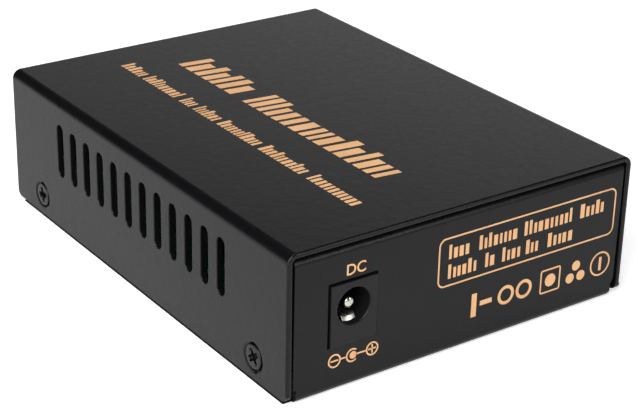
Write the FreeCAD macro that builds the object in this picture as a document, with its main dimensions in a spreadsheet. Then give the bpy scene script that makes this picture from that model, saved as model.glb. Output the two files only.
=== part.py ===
import FreeCAD, Part
import math
import os
import re
import Sketcher

# Fibre media converter: a folded steel case around one circuit board.  Millimetres, +Z up.
# The origin is the centre of the underside.  The data sockets face -Y, the power jack faces +Y.

# Driving sizes.  Each one is written once, here, and goes into the sheet of the same document.
SIZES = {
    # whole case
    "case_length": 94.0,
    "case_width": 71.7,
    "case_height": 26.9,
    # top cover: one sheet folded into a U
    "cover_sheet": 1.0,
    "cover_bend": 1.8,
    "cover_lift": 0.9,
    "cover_corner": 1.3,
    "vent_count": 12,
    "vent_pitch": 5.06,
    "vent_width": 2.35,
    "vent_height": 10.5,
    "vent_end_facets": 6,
    "vent_level": 16.9,
    # base: one sheet folded into floor, two end panels with lips, and two side flanges
    "base_sheet": 1.0,
    "base_bend": 1.4,
    "panel_recess": 0.2,
    "panel_side_gap": 0.5,
    "panel_top_gap": 0.3,
    "lip_depth": 6.0,
    "relief_step": 0.55,
    "relief_height": 2.5,
    "flange_height": 9.5,
    "flange_end_inset": 6.0,
    "flange_gap": 0.15,
    "collar_diameter": 4.6,
    "collar_depth": 1.0,
    # screws: M3 throughout
    "thread_diameter": 3.0,
    "thread_gap": 0.05,
    "cover_screw_front_inset": 10.7,
    "cover_screw_rear_inset": 9.5,
    "cover_screw_level": 4.85,
    "cover_screw_head": 5.6,
    "cover_screw_length": 4.0,
    "cross_span": 3.0,
    "cross_slot": 0.75,
    "cross_depth": 1.1,
    "board_screw_flats": 5.5,
    "board_screw_head_height": 2.0,
    "board_screw_length": 5.5,
    # circuit board on its four standoffs
    "standoff_height": 5.6,
    "standoff_flats": 5.0,
    "standoff_bore_depth": 5.0,
    "board_thickness": 1.6,
    "board_side_gap": 1.2,
    "board_end_gap": 1.2,
    "board_corner": 1.5,
    "board_hole": 3.2,
    "board_hole_side_inset": 4.0,
    "board_hole_front_inset": 7.6,
    "board_hole_rear_inset": 18.6,
    # power jack for a 5.5 x 2.1 plug
    "jack_inset": 11.35,
    "jack_width": 9.0,
    "jack_axis_height": 6.5,
    "jack_length": 14.2,
    "jack_collar": 3.4,
    "jack_step": 0.4,
    "jack_bore": 6.4,
    "jack_bore_depth": 9.5,
    "jack_gap": 0.25,
    "jack_pin_diameter": 2.0,
    "jack_pin_setback": 1.7,
    "jack_spring_width": 2.3,
    "jack_spring_sheet": 0.3,
    "jack_spring_setback": 2.4,
    "jack_spring_rise": 0.75,
    "jack_spring_bed": 1.4,
    "jack_tail_width": 2.2,
    "jack_tail_sheet": 0.4,
    "jack_tail_reach": 1.0,
    "jack_tail_slack": 0.2,
    "jack_spring_tail": 8.0,
    "jack_switch_tail": 10.7,
    # copper data socket, eight contacts, tab down
    "copper_inset": 17.35,
    "copper_width": 16.2,
    "copper_height": 13.4,
    "copper_length": 33.0,
    "copper_shield": 0.3,
    "copper_plug_width": 11.9,
    "copper_plug_height": 6.8,
    "copper_plug_floor": 3.2,
    "copper_plug_depth": 13.0,
    "copper_tab_width": 6.4,
    "copper_tab_drop": 1.6,
    "copper_contact_count": 8,
    "copper_contact_pitch": 1.02,
    "copper_contact_width": 0.45,
    "copper_contact_wire": 0.3,
    "copper_contact_room": 1.2,
    "copper_window_width": 3.0,
    "copper_window_height": 2.0,
    "copper_window_depth": 2.0,
    # fibre module cage and the connector inside it
    "cage_inset": 19.35,
    "cage_width": 14.5,
    "cage_height": 9.8,
    "cage_length": 47.6,
    "cage_sheet": 0.3,
    "cage_hole": 2.0,
    "cage_hole_sides": 8,
    "cage_hole_pitch": 4.4,
    "cage_hole_count": 6,
    "cage_hole_rows": 6.4,
    "spring_sheet": 0.2,
    "spring_band": 2.0,
    "finger_length": 6.0,
    "finger_width": 2.2,
    "finger_pitch": 3.1,
    "finger_rise": 0.8,
    "edge_socket_width": 11.0,
    "edge_socket_height": 5.6,
    "edge_socket_length": 8.6,
    "edge_socket_slot": 1.3,
    "edge_slot_depth": 6.0,
    "edge_contact_count": 10,
    "edge_contact_pitch": 0.8,
    "edge_contact_width": 0.35,
    "port_gap": 0.25,
    # indicator lamps on the board, and the moulded guide that brings their light to the panel
    "lamp_count": 3,
    "lamp_pitch": 4.4,
    "lamp_size": 1.6,
    "lamp_height": 0.8,
    "guide_width": 2.0,
    "guide_height": 4.0,
    "guide_level": 6.0,
    "guide_length": 7.0,
    "guide_leg": 2.4,
    "guide_bar": 1.5,
    "guide_gap": 0.15,
    # line chip under its heat sink
    "line_chip_size": 17.0,
    "line_chip_height": 1.8,
    "pad_height": 0.5,
    "sink_size": 25.0,
    "sink_side_inset": 16.5,
    "sink_gap": 1.0,
    "sink_height": 8.0,
    "sink_base": 1.6,
    "sink_fin_count": 9,
    "sink_fin": 1.0,
    # other parts on the board
    "bridge_chip_gap": 3.4,
    "bridge_chip_size": 12.0,
    "bridge_chip_height": 1.2,
    "small_chip_inset": 6.0,
    "small_chip_spacing": 12.0,
    "small_chip_length": 4.9,
    "small_chip_width": 3.9,
    "small_chip_height": 1.5,
    "small_chip_lift": 0.15,
    "chip_lead_pitch": 1.27,
    "chip_lead_width": 0.42,
    "chip_lead_sheet": 0.2,
    "chip_lead_reach": 1.05,
    "crystal_length": 5.0,
    "crystal_width": 3.2,
    "crystal_height": 1.3,
    "crystal_rim": 0.3,
    "coil_across": 4.5,
    "coil_inset": 8.1,
    "coil_spacing": 9.5,
    "coil_size": 7.2,
    "coil_height": 4.2,
    "coil_edge": 0.5,
    "can_across": 5.5,
    "can_inset": 8.6,
    "can_spacing": 9.2,
    "can_diameter": 8.0,
    "can_height": 9.6,
    "can_base_size": 8.3,
    "can_base_height": 1.2,
    "can_base_cut": 2.0,
    "chip_capacitor_length": 2.0,
    "chip_capacitor_width": 1.25,
    "chip_capacitor_height": 1.0,
    "chip_capacitor_pitch": 2.6,
    "chip_capacitor_count": 5,
    "chip_capacitor_gap": 2.5,
}

# Places that follow from the sizes.  Each is a formula over SIZES and other places.
PLACES = {
    "half_length": "case_length / 2",
    "half_width": "case_width / 2",
    "cover_inner_x": "half_width - cover_sheet",
    "cover_inner_top": "case_height - cover_sheet",
    "panel_outer": "half_length - panel_recess",
    "panel_inner": "panel_outer - base_sheet",
    "panel_side": "cover_inner_x - panel_side_gap",
    "panel_top": "cover_inner_top - panel_top_gap",
    "flange_outer": "cover_inner_x - flange_gap",
    "flange_inner": "flange_outer - base_sheet",
    "flange_bend_line": "flange_outer - base_bend",
    "lip_end": "panel_outer - lip_depth",
    "flange_length": "case_length - 2 * flange_end_inset",
    "cover_screw_front": "half_length - cover_screw_front_inset",
    "cover_screw_rear": "half_length - cover_screw_rear_inset",
    "thread_bore": "thread_diameter / 2 + thread_gap",
    "head_depth": "cover_sheet + flange_gap",
    "head_slope": "(cover_screw_head - thread_diameter) / 2 / head_depth",
    "board_under": "base_sheet + standoff_height",
    "board_top": "board_under + board_thickness",
    "board_half_width": "flange_inner - board_side_gap",
    "board_half_length": "panel_inner - board_end_gap",
    "board_hole_across": "board_half_width - board_hole_side_inset",
    "board_hole_front": "board_half_length - board_hole_front_inset",
    "board_hole_rear": "board_half_length - board_hole_rear_inset",
    "standoff_corner": "standoff_flats / sqrt(3)",
    "jack_across": "panel_side - jack_inset",
    "jack_height": "jack_axis_height + jack_width / 2",
    "jack_floor": "jack_axis_height - jack_bore / 2",
    "jack_barrel_side": "jack_width / 2 - jack_step",
    "jack_tail_end": "-board_thickness - jack_tail_reach",
    "jack_spring_front": "-jack_spring_setback",
    "jack_spring_crest": "-jack_spring_setback - jack_bore_depth / 5",
    "copper_across": "panel_side - copper_inset",
    "contact_level": "copper_plug_top + copper_contact_room / 2",
    "copper_inner_x": "copper_width / 2 - copper_shield",
    "copper_inner_top": "copper_height - copper_shield",
    "copper_inner_back": "copper_length - copper_shield",
    "copper_plug_top": "copper_plug_floor + copper_plug_height",
    "window_outer": "copper_inner_x - copper_shield",
    "window_inner": "window_outer - copper_window_width",
    "window_ceiling": "copper_inner_top - copper_shield",
    "window_floor": "window_ceiling - copper_window_height",
    "cage_across": "cage_inset - panel_side",
    "cage_inner_x": "cage_width / 2 - cage_sheet",
    "cage_inner_top": "cage_height - cage_sheet",
    "finger_start": "panel_recess + base_sheet + spring_sheet",
    "finger_crest": "finger_start + finger_length / 3",
    "edge_socket_back": "cage_length - 2 * cage_sheet",
    "edge_socket_front": "edge_socket_back - edge_socket_length",
    "edge_slot_level": "cage_height / 3",
    "lamp_row": "(lamp_count - 1) * lamp_pitch",
    "lamp_middle": "(cage_across + cage_width / 2 + copper_across - copper_width / 2) / 2",
    "lamp_first": "lamp_middle - lamp_row / 2",
    "guide_under": "guide_level - guide_height / 2",
    "guide_top": "guide_level + guide_height / 2",
    "guide_foot": "lamp_height + guide_gap",
    "line_chip_across": "board_half_width - sink_side_inset",
    "line_chip_along": "-half_length + copper_length + sink_gap + sink_size / 2",
    "sink_under": "line_chip_height + pad_height",
    "sink_pitch": "(sink_size - sink_fin) / (sink_fin_count - 1)",
    "bridge_chip_along": "-half_length + cage_length + bridge_chip_gap + bridge_chip_size / 2",
    "crystal_across": "(cage_across + cage_width / 2 + line_chip_across - sink_size / 2) / 2",
    "small_chip_across": "board_half_width - small_chip_inset",
    "small_chip_along": "board_hole_rear - 3 / 2 * small_chip_spacing",
    "chip_lead_level": "small_chip_lift + small_chip_height / 2",
    "coil_along": "board_half_length - coil_inset - coil_spacing",
    "can_along": "board_half_length - can_inset - can_spacing",
    "capacitor_row": "(chip_capacitor_count - 1) * chip_capacitor_pitch",
}

doc = FreeCAD.newDocument("media_converter")
sheet = doc.addObject("Spreadsheet::Sheet", "dims")
for row, (alias, size) in enumerate(SIZES.items(), 1):
    sheet.set(f"A{row}", alias)
    sheet.set(f"B{row}", str(size))
    sheet.setAlias(f"B{row}", alias)
doc.recompute()

parts = []


def formula(text):
    """A formula with its places opened up and its sizes pointing at the sheet."""
    def swap(match):
        word = match.group()
        if word in PLACES:
            return f"({formula(PLACES[word])})"
        return f"dims.{word}" if word in SIZES else word
    return re.sub(r"[a-z]\w*", swap, text)


def measure(text):
    """The value that a formula has now."""
    return float(sheet.evalExpression(formula(text).replace("dims.", "")))


def bind(item, prop, text):
    item.setExpression(prop, formula(text))


def place(item, x="0", y="0", z="0"):
    for axis, text in zip("xyz", (x, y, z)):
        bind(item, f".Placement.Base.{axis}", text)


def new_body(label, x="0", y="0", z="0"):
    """A sub-part of its own.  Identical pieces may stand apart inside one."""
    body = doc.addObject("PartDesign::Body", label)
    body.Label = label
    body.AllowCompound = True
    place(body, x, y, z)
    parts.append(body)
    return body


def origin_item(body, role):
    return next(item for item in body.Origin.OriginFeatures if item.Role == role)


def new_sketch(body, plane, offset="0"):
    """A sketch on one of the body's own planes, moved along that plane's normal."""
    sketch = body.newObject("Sketcher::SketchObject", "outline")
    sketch.AttachmentSupport = [(origin_item(body, f"{plane}_Plane"), "")]
    sketch.MapMode = "FlatFace"
    bind(sketch, ".AttachmentOffset.Base.z", offset)
    return sketch


def hold_point(sketch, item, end, x, y):
    """Hold one point of the sketch at its formulas."""
    for kind, text in (("DistanceX", x), ("DistanceY", y)):
        if text is None:
            continue
        index = sketch.addConstraint(Sketcher.Constraint(kind, -1, 1, item, end, measure(text)))
        bind(sketch, f"Constraints[{index}]", text)


def outline(sketch, corners):
    """A closed outline through the corners, whose coordinates are formulas.

    A corner (x, y) is reached by a straight edge.  A corner (x, y, turn, cx, cy) is reached by
    an arc about (cx, cy), counter-clockwise where turn is "left" and clockwise for "right".
    """
    ends = []
    for index, corner in enumerate(corners):
        start = FreeCAD.Vector(*[measure(text) for text in corners[index - 1][:2]])
        finish = FreeCAD.Vector(*[measure(text) for text in corner[:2]])
        if len(corner) == 2:
            ends.append((sketch.addGeometry(Part.LineSegment(start, finish), False), 1, 2))
            continue
        turn, centre_x, centre_y = corner[2:]
        centre = FreeCAD.Vector(measure(centre_x), measure(centre_y), 0)
        first, last = (start, finish) if turn == "left" else (finish, start)
        angles = [math.atan2(point.y - centre.y, point.x - centre.x) for point in (first, last)]
        whole = Part.Circle(centre, FreeCAD.Vector(0, 0, 1), (start - centre).Length)
        arc = sketch.addGeometry(Part.ArcOfCircle(whole, *angles), False)
        ends.append((arc, 1, 2) if turn == "left" else (arc, 2, 1))
        upright = abs(finish.y - start.y) >= abs(finish.x - start.x)
        hold_point(sketch, arc, 3, *((centre_x, None) if upright else (None, centre_y)))
    for index, corner in enumerate(corners):
        item, _, end = ends[index]
        after, begin, _ = ends[(index + 1) % len(corners)]
        sketch.addConstraint(Sketcher.Constraint("Coincident", item, end, after, begin))
        hold_point(sketch, item, end, *corner[:2])


def rectangle(sketch, left, low, right, high):
    outline(sketch, [(left, low), (right, low), (right, high), (left, high)])


def circle(sketch, x, y, radius):
    centre = FreeCAD.Vector(measure(x), measure(y), 0)
    item = sketch.addGeometry(Part.Circle(centre, FreeCAD.Vector(0, 0, 1), measure(radius)), False)
    hold_point(sketch, item, 3, x, y)
    index = sketch.addConstraint(Sketcher.Constraint("Radius", item, measure(radius)))
    bind(sketch, f"Constraints[{index}]", radius)


def polygon(sketch, x, y, radius, sides):
    """A regular polygon with its first corner on the sketch's X direction."""
    outline(sketch, [(f"{x} + {radius} * cos(360 * {k} / {sides})",
                      f"{y} + {radius} * sin(360 * {k} / {sides})")
                     for k in range(round(measure(sides)))])


def upright_slot(sketch, x, y, width, height, end_facets):
    """A slot standing up in the sketch, each of its ends half a regular polygon."""
    corners = []
    for start, rise in ((0, "+"), (180, "-")):
        for k in range(round(measure(end_facets)) + 1):
            angle = f"({start} + 180 * {k} / {end_facets})"
            corners.append((f"{x} + {width} / 2 * cos({angle})",
                            f"{y} {rise} ({height} - {width}) / 2 + {width} / 2 * sin({angle})"))
    outline(sketch, corners)


def extrude(kind, sketch, length, both, back):
    """A pad or a pocket of a sketch, whose effect on the volume is checked."""
    body = sketch.getParentGeoFeatureGroup()
    before = body.Shape.Volume if body.Tip else 0.0
    feature = body.newObject(f"PartDesign::{kind}", kind.lower())
    feature.Profile = sketch
    if length is None:
        feature.Type = "ThroughAll"
    else:
        bind(feature, "Length", length)
    if both:
        feature.SideType = "Symmetric"
    feature.Reversed = back
    sketch.Visibility = False
    doc.recompute()
    change = body.Shape.Volume - before
    if (change > 0) != (kind == "Pad") or abs(change) < 1e-6:
        raise RuntimeError(f"{kind} in {body.Label} changes the volume by {change}")
    return feature


def pad(sketch, length, both=False, back=False):
    return extrude("Pad", sketch, length, both, back)


def pocket(sketch, length=None, both=False, back=False):
    return extrude("Pocket", sketch, length, both, back)


def revolve(sketch, axis):
    """A turned piece: the sketch spun once about its own H or V axis."""
    body = sketch.getParentGeoFeatureGroup()
    feature = body.newObject("PartDesign::Revolution", "turned")
    feature.Profile = sketch
    feature.ReferenceAxis = (sketch, [f"{axis}_Axis"])
    feature.Angle = 360
    sketch.Visibility = False
    doc.recompute()
    return feature


def take_copies(copies, features, body):
    """Sets what a pattern copies: the named features, or the whole body where there are none."""
    if features:
        copies.Originals = features
    else:
        copies.TransformMode = "Whole shape"
    body.Tip = copies
    doc.recompute()
    return copies


def repeat(body, axis, count, length, features=None, back=False):
    """A row of copies along one axis of the body."""
    row_of = body.newObject("PartDesign::LinearPattern", "row")
    row_of.Direction = (origin_item(body, f"{axis}_Axis"), [""])
    row_of.Reversed = back
    bind(row_of, "Occurrences", count)
    bind(row_of, "Length", length)
    return take_copies(row_of, features, body)


def mirror(body, plane, features=None):
    mirrored = body.newObject("PartDesign::Mirrored", "mirrored")
    mirrored.MirrorPlane = (origin_item(body, f"{plane}_Plane"), [""])
    return take_copies(mirrored, features, body)


def straight_edges(body, axis, spots):
    """Names of the body's straight edges along an axis that pass through the given spots.

    A spot is a pair of formulas for the two other axes, in the body's own frame.
    """
    shape = body.Tip.Shape
    others = [index for index, name in enumerate("xyz") if name != axis]
    targets = [(measure(first), measure(second)) for first, second in spots]
    names = []
    for number, edge in enumerate(shape.Edges, 1):
        if not isinstance(edge.Curve, Part.Line):
            continue
        start, end = edge.Vertexes[0].Point, edge.Vertexes[-1].Point
        if any(abs(start[index] - end[index]) > 1e-6 for index in others):
            continue
        if any(all(abs(start[index] - value) < 1e-4 for index, value in zip(others, target))
               for target in targets):
            names.append(f"Edge{number}")
    return names


def level_edges(body, axis, level, radius=None):
    """Names of the edges that lie wholly at one level of an axis, or only the circles of a radius."""
    index = "xyz".index(axis)
    names = []
    for number, edge in enumerate(body.Tip.Shape.Edges, 1):
        box = edge.BoundBox
        low = (box.XMin, box.YMin, box.ZMin)[index]
        high = (box.XMax, box.YMax, box.ZMax)[index]
        if abs(low - measure(level)) > 1e-4 or abs(high - measure(level)) > 1e-4:
            continue
        if radius is not None:
            if not isinstance(edge.Curve, Part.Circle):
                continue
            if abs(edge.Curve.Radius - measure(radius)) > 1e-4:
                continue
        names.append(f"Edge{number}")
    return names


def dress(kind, body, names, size):
    """A fillet or a chamfer on named edges of the body as it is now."""
    if not names:
        raise RuntimeError(f"no edge found for a {kind.lower()} in {body.Label}")
    base = body.Tip
    feature = body.newObject(f"PartDesign::{kind}", kind.lower())
    feature.Base = (base, names)
    bind(feature, "Radius" if kind == "Fillet" else "Size", size)
    doc.recompute()
    return feature


def fillet(body, names, radius):
    return dress("Fillet", body, names, radius)


def chamfer(body, names, size):
    return dress("Chamfer", body, names, size)


def cut_cone(body, outer_radius, inner_radius, height, spot, turn):
    """A conical cut, as for a countersunk head; it starts at the spot and runs along +Z turned."""
    cone = body.newObject("PartDesign::SubtractiveCone", "countersink")
    cone.Placement = FreeCAD.Placement(FreeCAD.Vector(), turn)
    bind(cone, "Radius1", outer_radius)
    bind(cone, "Radius2", inner_radius)
    bind(cone, "Height", height)
    place(cone, *spot)
    doc.recompute()
    return cone


ALONG_PLUS_X = FreeCAD.Rotation(FreeCAD.Vector(0, 1, 0), 90)
ALONG_MINUS_X = FreeCAD.Rotation(FreeCAD.Vector(0, 1, 0), -90)


def top_cover():
    """Top and both walls, folded from one sheet; slots and countersinks in the walls."""
    body = new_body("top_cover")
    section = new_sketch(body, "XZ")
    outline(section, [("-half_width", "cover_lift"), ("-cover_inner_x", "cover_lift"),
                      ("-cover_inner_x", "cover_inner_top"), ("cover_inner_x", "cover_inner_top"),
                      ("cover_inner_x", "cover_lift"), ("half_width", "cover_lift"),
                      ("half_width", "case_height"), ("-half_width", "case_height")])
    pad(section, "case_length", both=True)
    for x, z, radius in (("half_width", "case_height", "cover_bend"),
                         ("cover_inner_x", "cover_inner_top", "cover_bend - cover_sheet")):
        fillet(body, straight_edges(body, "y", [(x, z), (f"-({x})", z)]), radius)
    lower_corners = [("half_length", "cover_lift"), ("-half_length", "cover_lift")]
    fillet(body, straight_edges(body, "x", lower_corners), "cover_corner")
    run = "vent_pitch * (vent_count - 1)"
    slot = new_sketch(body, "YZ")
    upright_slot(slot, f"-({run}) / 2", "vent_level", "vent_width", "vent_height",
                 "vent_end_facets")
    repeat(body, "Y", "vent_count", run, [pocket(slot, both=True)])
    outer = "cover_screw_head / 2 + thread_gap"
    inner = f"{outer} - head_slope * cover_sheet"
    for y in ("-cover_screw_front", "cover_screw_rear"):
        for x, turn in (("half_width", ALONG_MINUS_X), ("-half_width", ALONG_PLUS_X)):
            cut_cone(body, outer, inner, "cover_sheet", (x, y, "cover_screw_level"), turn)
    return body


def fold_end_panels(body):
    """Floor, both end panels and their lips, as one folded section along the case."""
    section = new_sketch(body, "YZ")
    inner_top = "panel_top - base_sheet"
    outline(section, [("-lip_end", "panel_top"), ("-panel_outer", "panel_top"),
                      ("-panel_outer", "0"), ("panel_outer", "0"),
                      ("panel_outer", "panel_top"), ("lip_end", "panel_top"),
                      ("lip_end", inner_top), ("panel_inner", inner_top),
                      ("panel_inner", "base_sheet"), ("-panel_inner", "base_sheet"),
                      ("-panel_inner", inner_top), ("-lip_end", inner_top)])
    pad(section, "2 * panel_side", both=True)
    outer_spots = [(f"{sign}panel_outer", z) for sign in ("", "-") for z in ("0", "panel_top")]
    inner_spots = [(f"{sign}panel_inner", z) for sign in ("", "-") for z in ("base_sheet", inner_top)]
    fillet(body, straight_edges(body, "x", outer_spots), "base_bend")
    fillet(body, straight_edges(body, "x", inner_spots), "base_bend - base_sheet")


def relieve_corners(body):
    """Notches at the four lower corners, and the strips that the side flanges fold up from."""
    notch = new_sketch(body, "XZ")
    step_x = "panel_side - relief_step"
    rectangle(notch, step_x, "-relief_height", "half_width", "relief_height")
    rectangle(notch, "-half_width", "-relief_height", f"-({step_x})", "relief_height")
    pocket(notch, both=True)
    strip = new_sketch(body, "XY")
    for left, right in (("flange_bend_line", "half_width"), ("-half_width", "-flange_bend_line")):
        rectangle(strip, left, "-flange_length / 2", right, "flange_length / 2")
    pocket(strip, "2 * relief_height", both=True)


def fold_side_flanges(body):
    section = new_sketch(body, "XZ")
    outline(section, [("flange_bend_line", "0"),
                      ("flange_outer", "base_bend", "left", "flange_bend_line", "base_bend"),
                      ("flange_outer", "flange_height"), ("flange_inner", "flange_height"),
                      ("flange_inner", "base_bend"),
                      ("flange_bend_line", "base_sheet", "right", "flange_bend_line", "base_bend")])
    wing = pad(section, "flange_length", both=True)
    mirror(body, "YZ", [wing])
    ends = [(f"{sign}flange_length / 2", "flange_height") for sign in ("", "-")]
    fillet(body, straight_edges(body, "x", ends), "base_bend")


def tap_side_flanges(body):
    """Extruded collars on the inside of the flanges, bored for the cover screws."""
    spots = [("-cover_screw_front", "cover_screw_level"), ("cover_screw_rear", "cover_screw_level")]
    collars = new_sketch(body, "YZ", "flange_inner - collar_depth")
    for y, z in spots:
        circle(collars, y, z, "collar_diameter / 2")
    raised = pad(collars, "collar_depth + base_sheet / 2")
    mirror(body, "YZ", [raised])
    bores = new_sketch(body, "YZ")
    for y, z in spots:
        circle(bores, y, z, "thread_bore")
    pocket(bores, both=True)


def cut_panels(body):
    """Windows for the sockets and lamps in front, and for the power jack behind."""
    front = new_sketch(body, "XZ")
    rectangle(front, "copper_across - copper_width / 2 - port_gap", "board_top - port_gap",
              "copper_across + copper_width / 2 + port_gap", "board_top + copper_height + port_gap")
    rectangle(front, "cage_across - cage_width / 2 - port_gap", "board_top - port_gap",
              "cage_across + cage_width / 2 + port_gap", "board_top + cage_height + port_gap")
    pocket(front, back=True)
    window = new_sketch(body, "XZ")
    half_window = "(guide_width / 2 + guide_gap)"
    rectangle(window, f"lamp_first - {half_window}", "board_top + guide_under - guide_gap",
              f"lamp_first + {half_window}", "board_top + guide_top + guide_gap")
    repeat(body, "X", "lamp_count", "lamp_row", [pocket(window, back=True)])
    rear = new_sketch(body, "XZ")
    rectangle(rear, "jack_across - jack_width / 2 - jack_gap", "board_top - jack_gap",
              "jack_across + jack_width / 2 + jack_gap", "board_top + jack_height + jack_gap")
    pocket(rear)


def board_spots():
    """The four fixing points of the board, as formulas."""
    return [(f"{side}board_hole_across", y)
            for side in ("", "-") for y in ("-board_hole_front", "board_hole_rear")]


def base_chassis():
    body = new_body("base_chassis")
    fold_end_panels(body)
    relieve_corners(body)
    fold_side_flanges(body)
    tap_side_flanges(body)
    cut_panels(body)
    floor_holes = new_sketch(body, "XY")
    for x, y in board_spots():
        polygon(floor_holes, x, y, "standoff_corner", "6")
    pocket(floor_holes, "2 * base_bend", both=True)
    return body


def cut_cross(body, sketch):
    """A cross recess for a driver, sunk into the face that the sketch lies on."""
    arm, slot = "cross_span / 2", "cross_slot / 2"
    corners = []
    for x_sign, y_sign in ((1, 1), (1, -1), (-1, -1), (-1, 1)):
        across = (arm if x_sign > 0 else f"-({arm})", slot if y_sign > 0 else f"-({slot})")
        inner = (slot if x_sign > 0 else f"-({slot})", slot if y_sign > 0 else f"-({slot})")
        along = (slot if x_sign > 0 else f"-({slot})", arm if y_sign > 0 else f"-({arm})")
        corners += [along, inner, across] if x_sign == y_sign else [across, inner, along]
    outline(sketch, corners)
    return pocket(sketch, "cross_depth")


def cover_screws():
    """Four countersunk screws that hold the cover to the side flanges."""
    body = new_body("cover_screws", y="-cover_screw_front", z="cover_screw_level")
    section = new_sketch(body, "XZ")
    tip, radius = "half_width - cover_screw_length", "thread_diameter / 2"
    outline(section, [(tip, "0"), ("half_width", "0"), ("half_width", "cover_screw_head / 2"),
                      ("half_width - head_depth", radius), (tip, radius)])
    revolve(section, "H")
    cut_cross(body, new_sketch(body, "YZ", "half_width"))
    repeat(body, "Y", "2", "cover_screw_front + cover_screw_rear")
    mirror(body, "YZ")
    return body


def at_board_corners(body):
    """Repeats the body's piece at all four fixing points of the board."""
    repeat(body, "Y", "2", "board_hole_front + board_hole_rear")
    repeat(body, "X", "2", "2 * board_hole_across", back=True)


def hexagon(body, corner_radius, height):
    """A hexagon prism that stands on the body's origin."""
    prism = body.newObject("PartDesign::AdditivePrism", "hexagon")
    prism.Polygon = 6
    bind(prism, "Circumradius", corner_radius)
    bind(prism, "Height", height)
    doc.recompute()


def board_standoffs():
    """Four hexagon standoffs, each pressed through the floor and flush with its underside."""
    body = new_body("board_standoffs", "board_hole_across", "-board_hole_front")
    hexagon(body, "standoff_corner", "board_under")
    bore = new_sketch(body, "XY", "board_under")
    circle(bore, "0", "0", "thread_bore")
    pocket(bore, "standoff_bore_depth")
    at_board_corners(body)
    return body


def board_screws():
    """Four hexagon-head screws from above."""
    body = new_body("board_screws", "board_hole_across", "-board_hole_front", "board_top")
    hexagon(body, "board_screw_flats / sqrt(3)", "board_screw_head_height")
    shank = new_sketch(body, "XY")
    circle(shank, "0", "0", "thread_diameter / 2")
    pad(shank, "board_screw_length", back=True)
    at_board_corners(body)
    return body


def main_board():
    body = new_body("main_board", z="board_under")
    blank = new_sketch(body, "XY")
    rectangle(blank, "-board_half_width", "-board_half_length", "board_half_width",
              "board_half_length")
    pad(blank, "board_thickness")
    corners = [(x, y) for x in ("board_half_width", "-board_half_width")
               for y in ("board_half_length", "-board_half_length")]
    fillet(body, straight_edges(body, "z", corners), "board_corner")
    holes = new_sketch(body, "XY", "board_thickness")
    for x, y in board_spots():
        circle(holes, x, y, "board_hole / 2")
    half_tail = "(jack_tail_width / 2 + jack_tail_slack)"
    rear, spring = "(half_length - jack_length)", "(half_length - jack_spring_tail)"
    switch_side, switch = "(jack_across - jack_barrel_side)", "(half_length - jack_switch_tail)"
    rectangle(holes, f"jack_across - {half_tail}", f"{rear} - jack_tail_sheet - jack_tail_slack",
              f"jack_across + {half_tail}", f"{rear} + jack_tail_slack")
    rectangle(holes, f"jack_across - {half_tail}",
              f"{spring} - jack_spring_sheet - jack_tail_slack",
              f"jack_across + {half_tail}", f"{spring} + jack_tail_slack")
    rectangle(holes, f"{switch_side} - jack_tail_sheet - jack_tail_slack",
              f"{switch} - {half_tail}", f"{switch_side} + jack_tail_slack",
              f"{switch} + {half_tail}")
    pocket(holes)
    return body


def jack_body(label, rise="0"):
    """A body in the power jack's frame: face at y = 0, the board's top at z = 0."""
    return new_body(label, "jack_across", "half_length", f"board_top + {rise}")


def dc_jack_housing():
    """Square collar, arched barrel, blind bore, and a bed for the spring contact."""
    body = jack_body("dc_jack_housing")
    collar = new_sketch(body, "XZ")
    rectangle(collar, "-jack_width / 2", "0", "jack_width / 2", "jack_height")
    pad(collar, "jack_collar")
    barrel = new_sketch(body, "XZ")
    outline(barrel, [("-jack_barrel_side", "0"), ("jack_barrel_side", "0"),
                     ("jack_barrel_side", "jack_axis_height"),
                     ("-jack_barrel_side", "jack_axis_height", "left", "0", "jack_axis_height")])
    pad(barrel, "jack_length")
    bore = new_sketch(body, "XZ")
    circle(bore, "0", "jack_axis_height", "jack_bore / 2")
    pocket(bore, "jack_bore_depth", back=True)
    chamfer(body, level_edges(body, "y", "0", "jack_bore / 2"), "jack_step / 2")
    pin_hole = new_sketch(body, "XZ")
    circle(pin_hole, "0", "jack_axis_height", "jack_pin_diameter / 2")
    pocket(pin_hole, back=True)
    bed = new_sketch(body, "YZ")
    tail_back = "-jack_spring_tail - jack_spring_sheet - jack_tail_slack"
    rectangle(bed, tail_back, "jack_spring_bed", "jack_spring_front + jack_tail_slack",
              "jack_axis_height")
    pocket(bed, "jack_spring_width + 2 * jack_tail_slack", both=True)
    tail = new_sketch(body, "XY")
    rectangle(tail, "-jack_spring_width / 2 - jack_tail_slack", tail_back,
              "jack_spring_width / 2 + jack_tail_slack", "-jack_spring_tail + jack_tail_slack")
    pocket(tail, "2 * jack_spring_bed", both=True)
    return body


def dc_jack_centre_pin():
    """A round-nosed pin through the back wall, with its tail down into the board."""
    body = jack_body("dc_jack_centre_pin", "jack_axis_height")
    section = new_sketch(body, "YZ")
    radius, shoulder = "jack_pin_diameter / 2", "-jack_pin_setback - jack_pin_diameter / 2"
    outline(section, [("-jack_length", "0"), ("-jack_pin_setback", "0"),
                      (shoulder, radius, "left", shoulder, "0"), ("-jack_length", radius)])
    revolve(section, "H")
    tail = new_sketch(body, "XZ", "jack_length")
    rectangle(tail, "-jack_tail_width / 2", "jack_tail_end - jack_axis_height",
              "jack_tail_width / 2", radius)
    pad(tail, "jack_tail_sheet")
    return body


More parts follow.
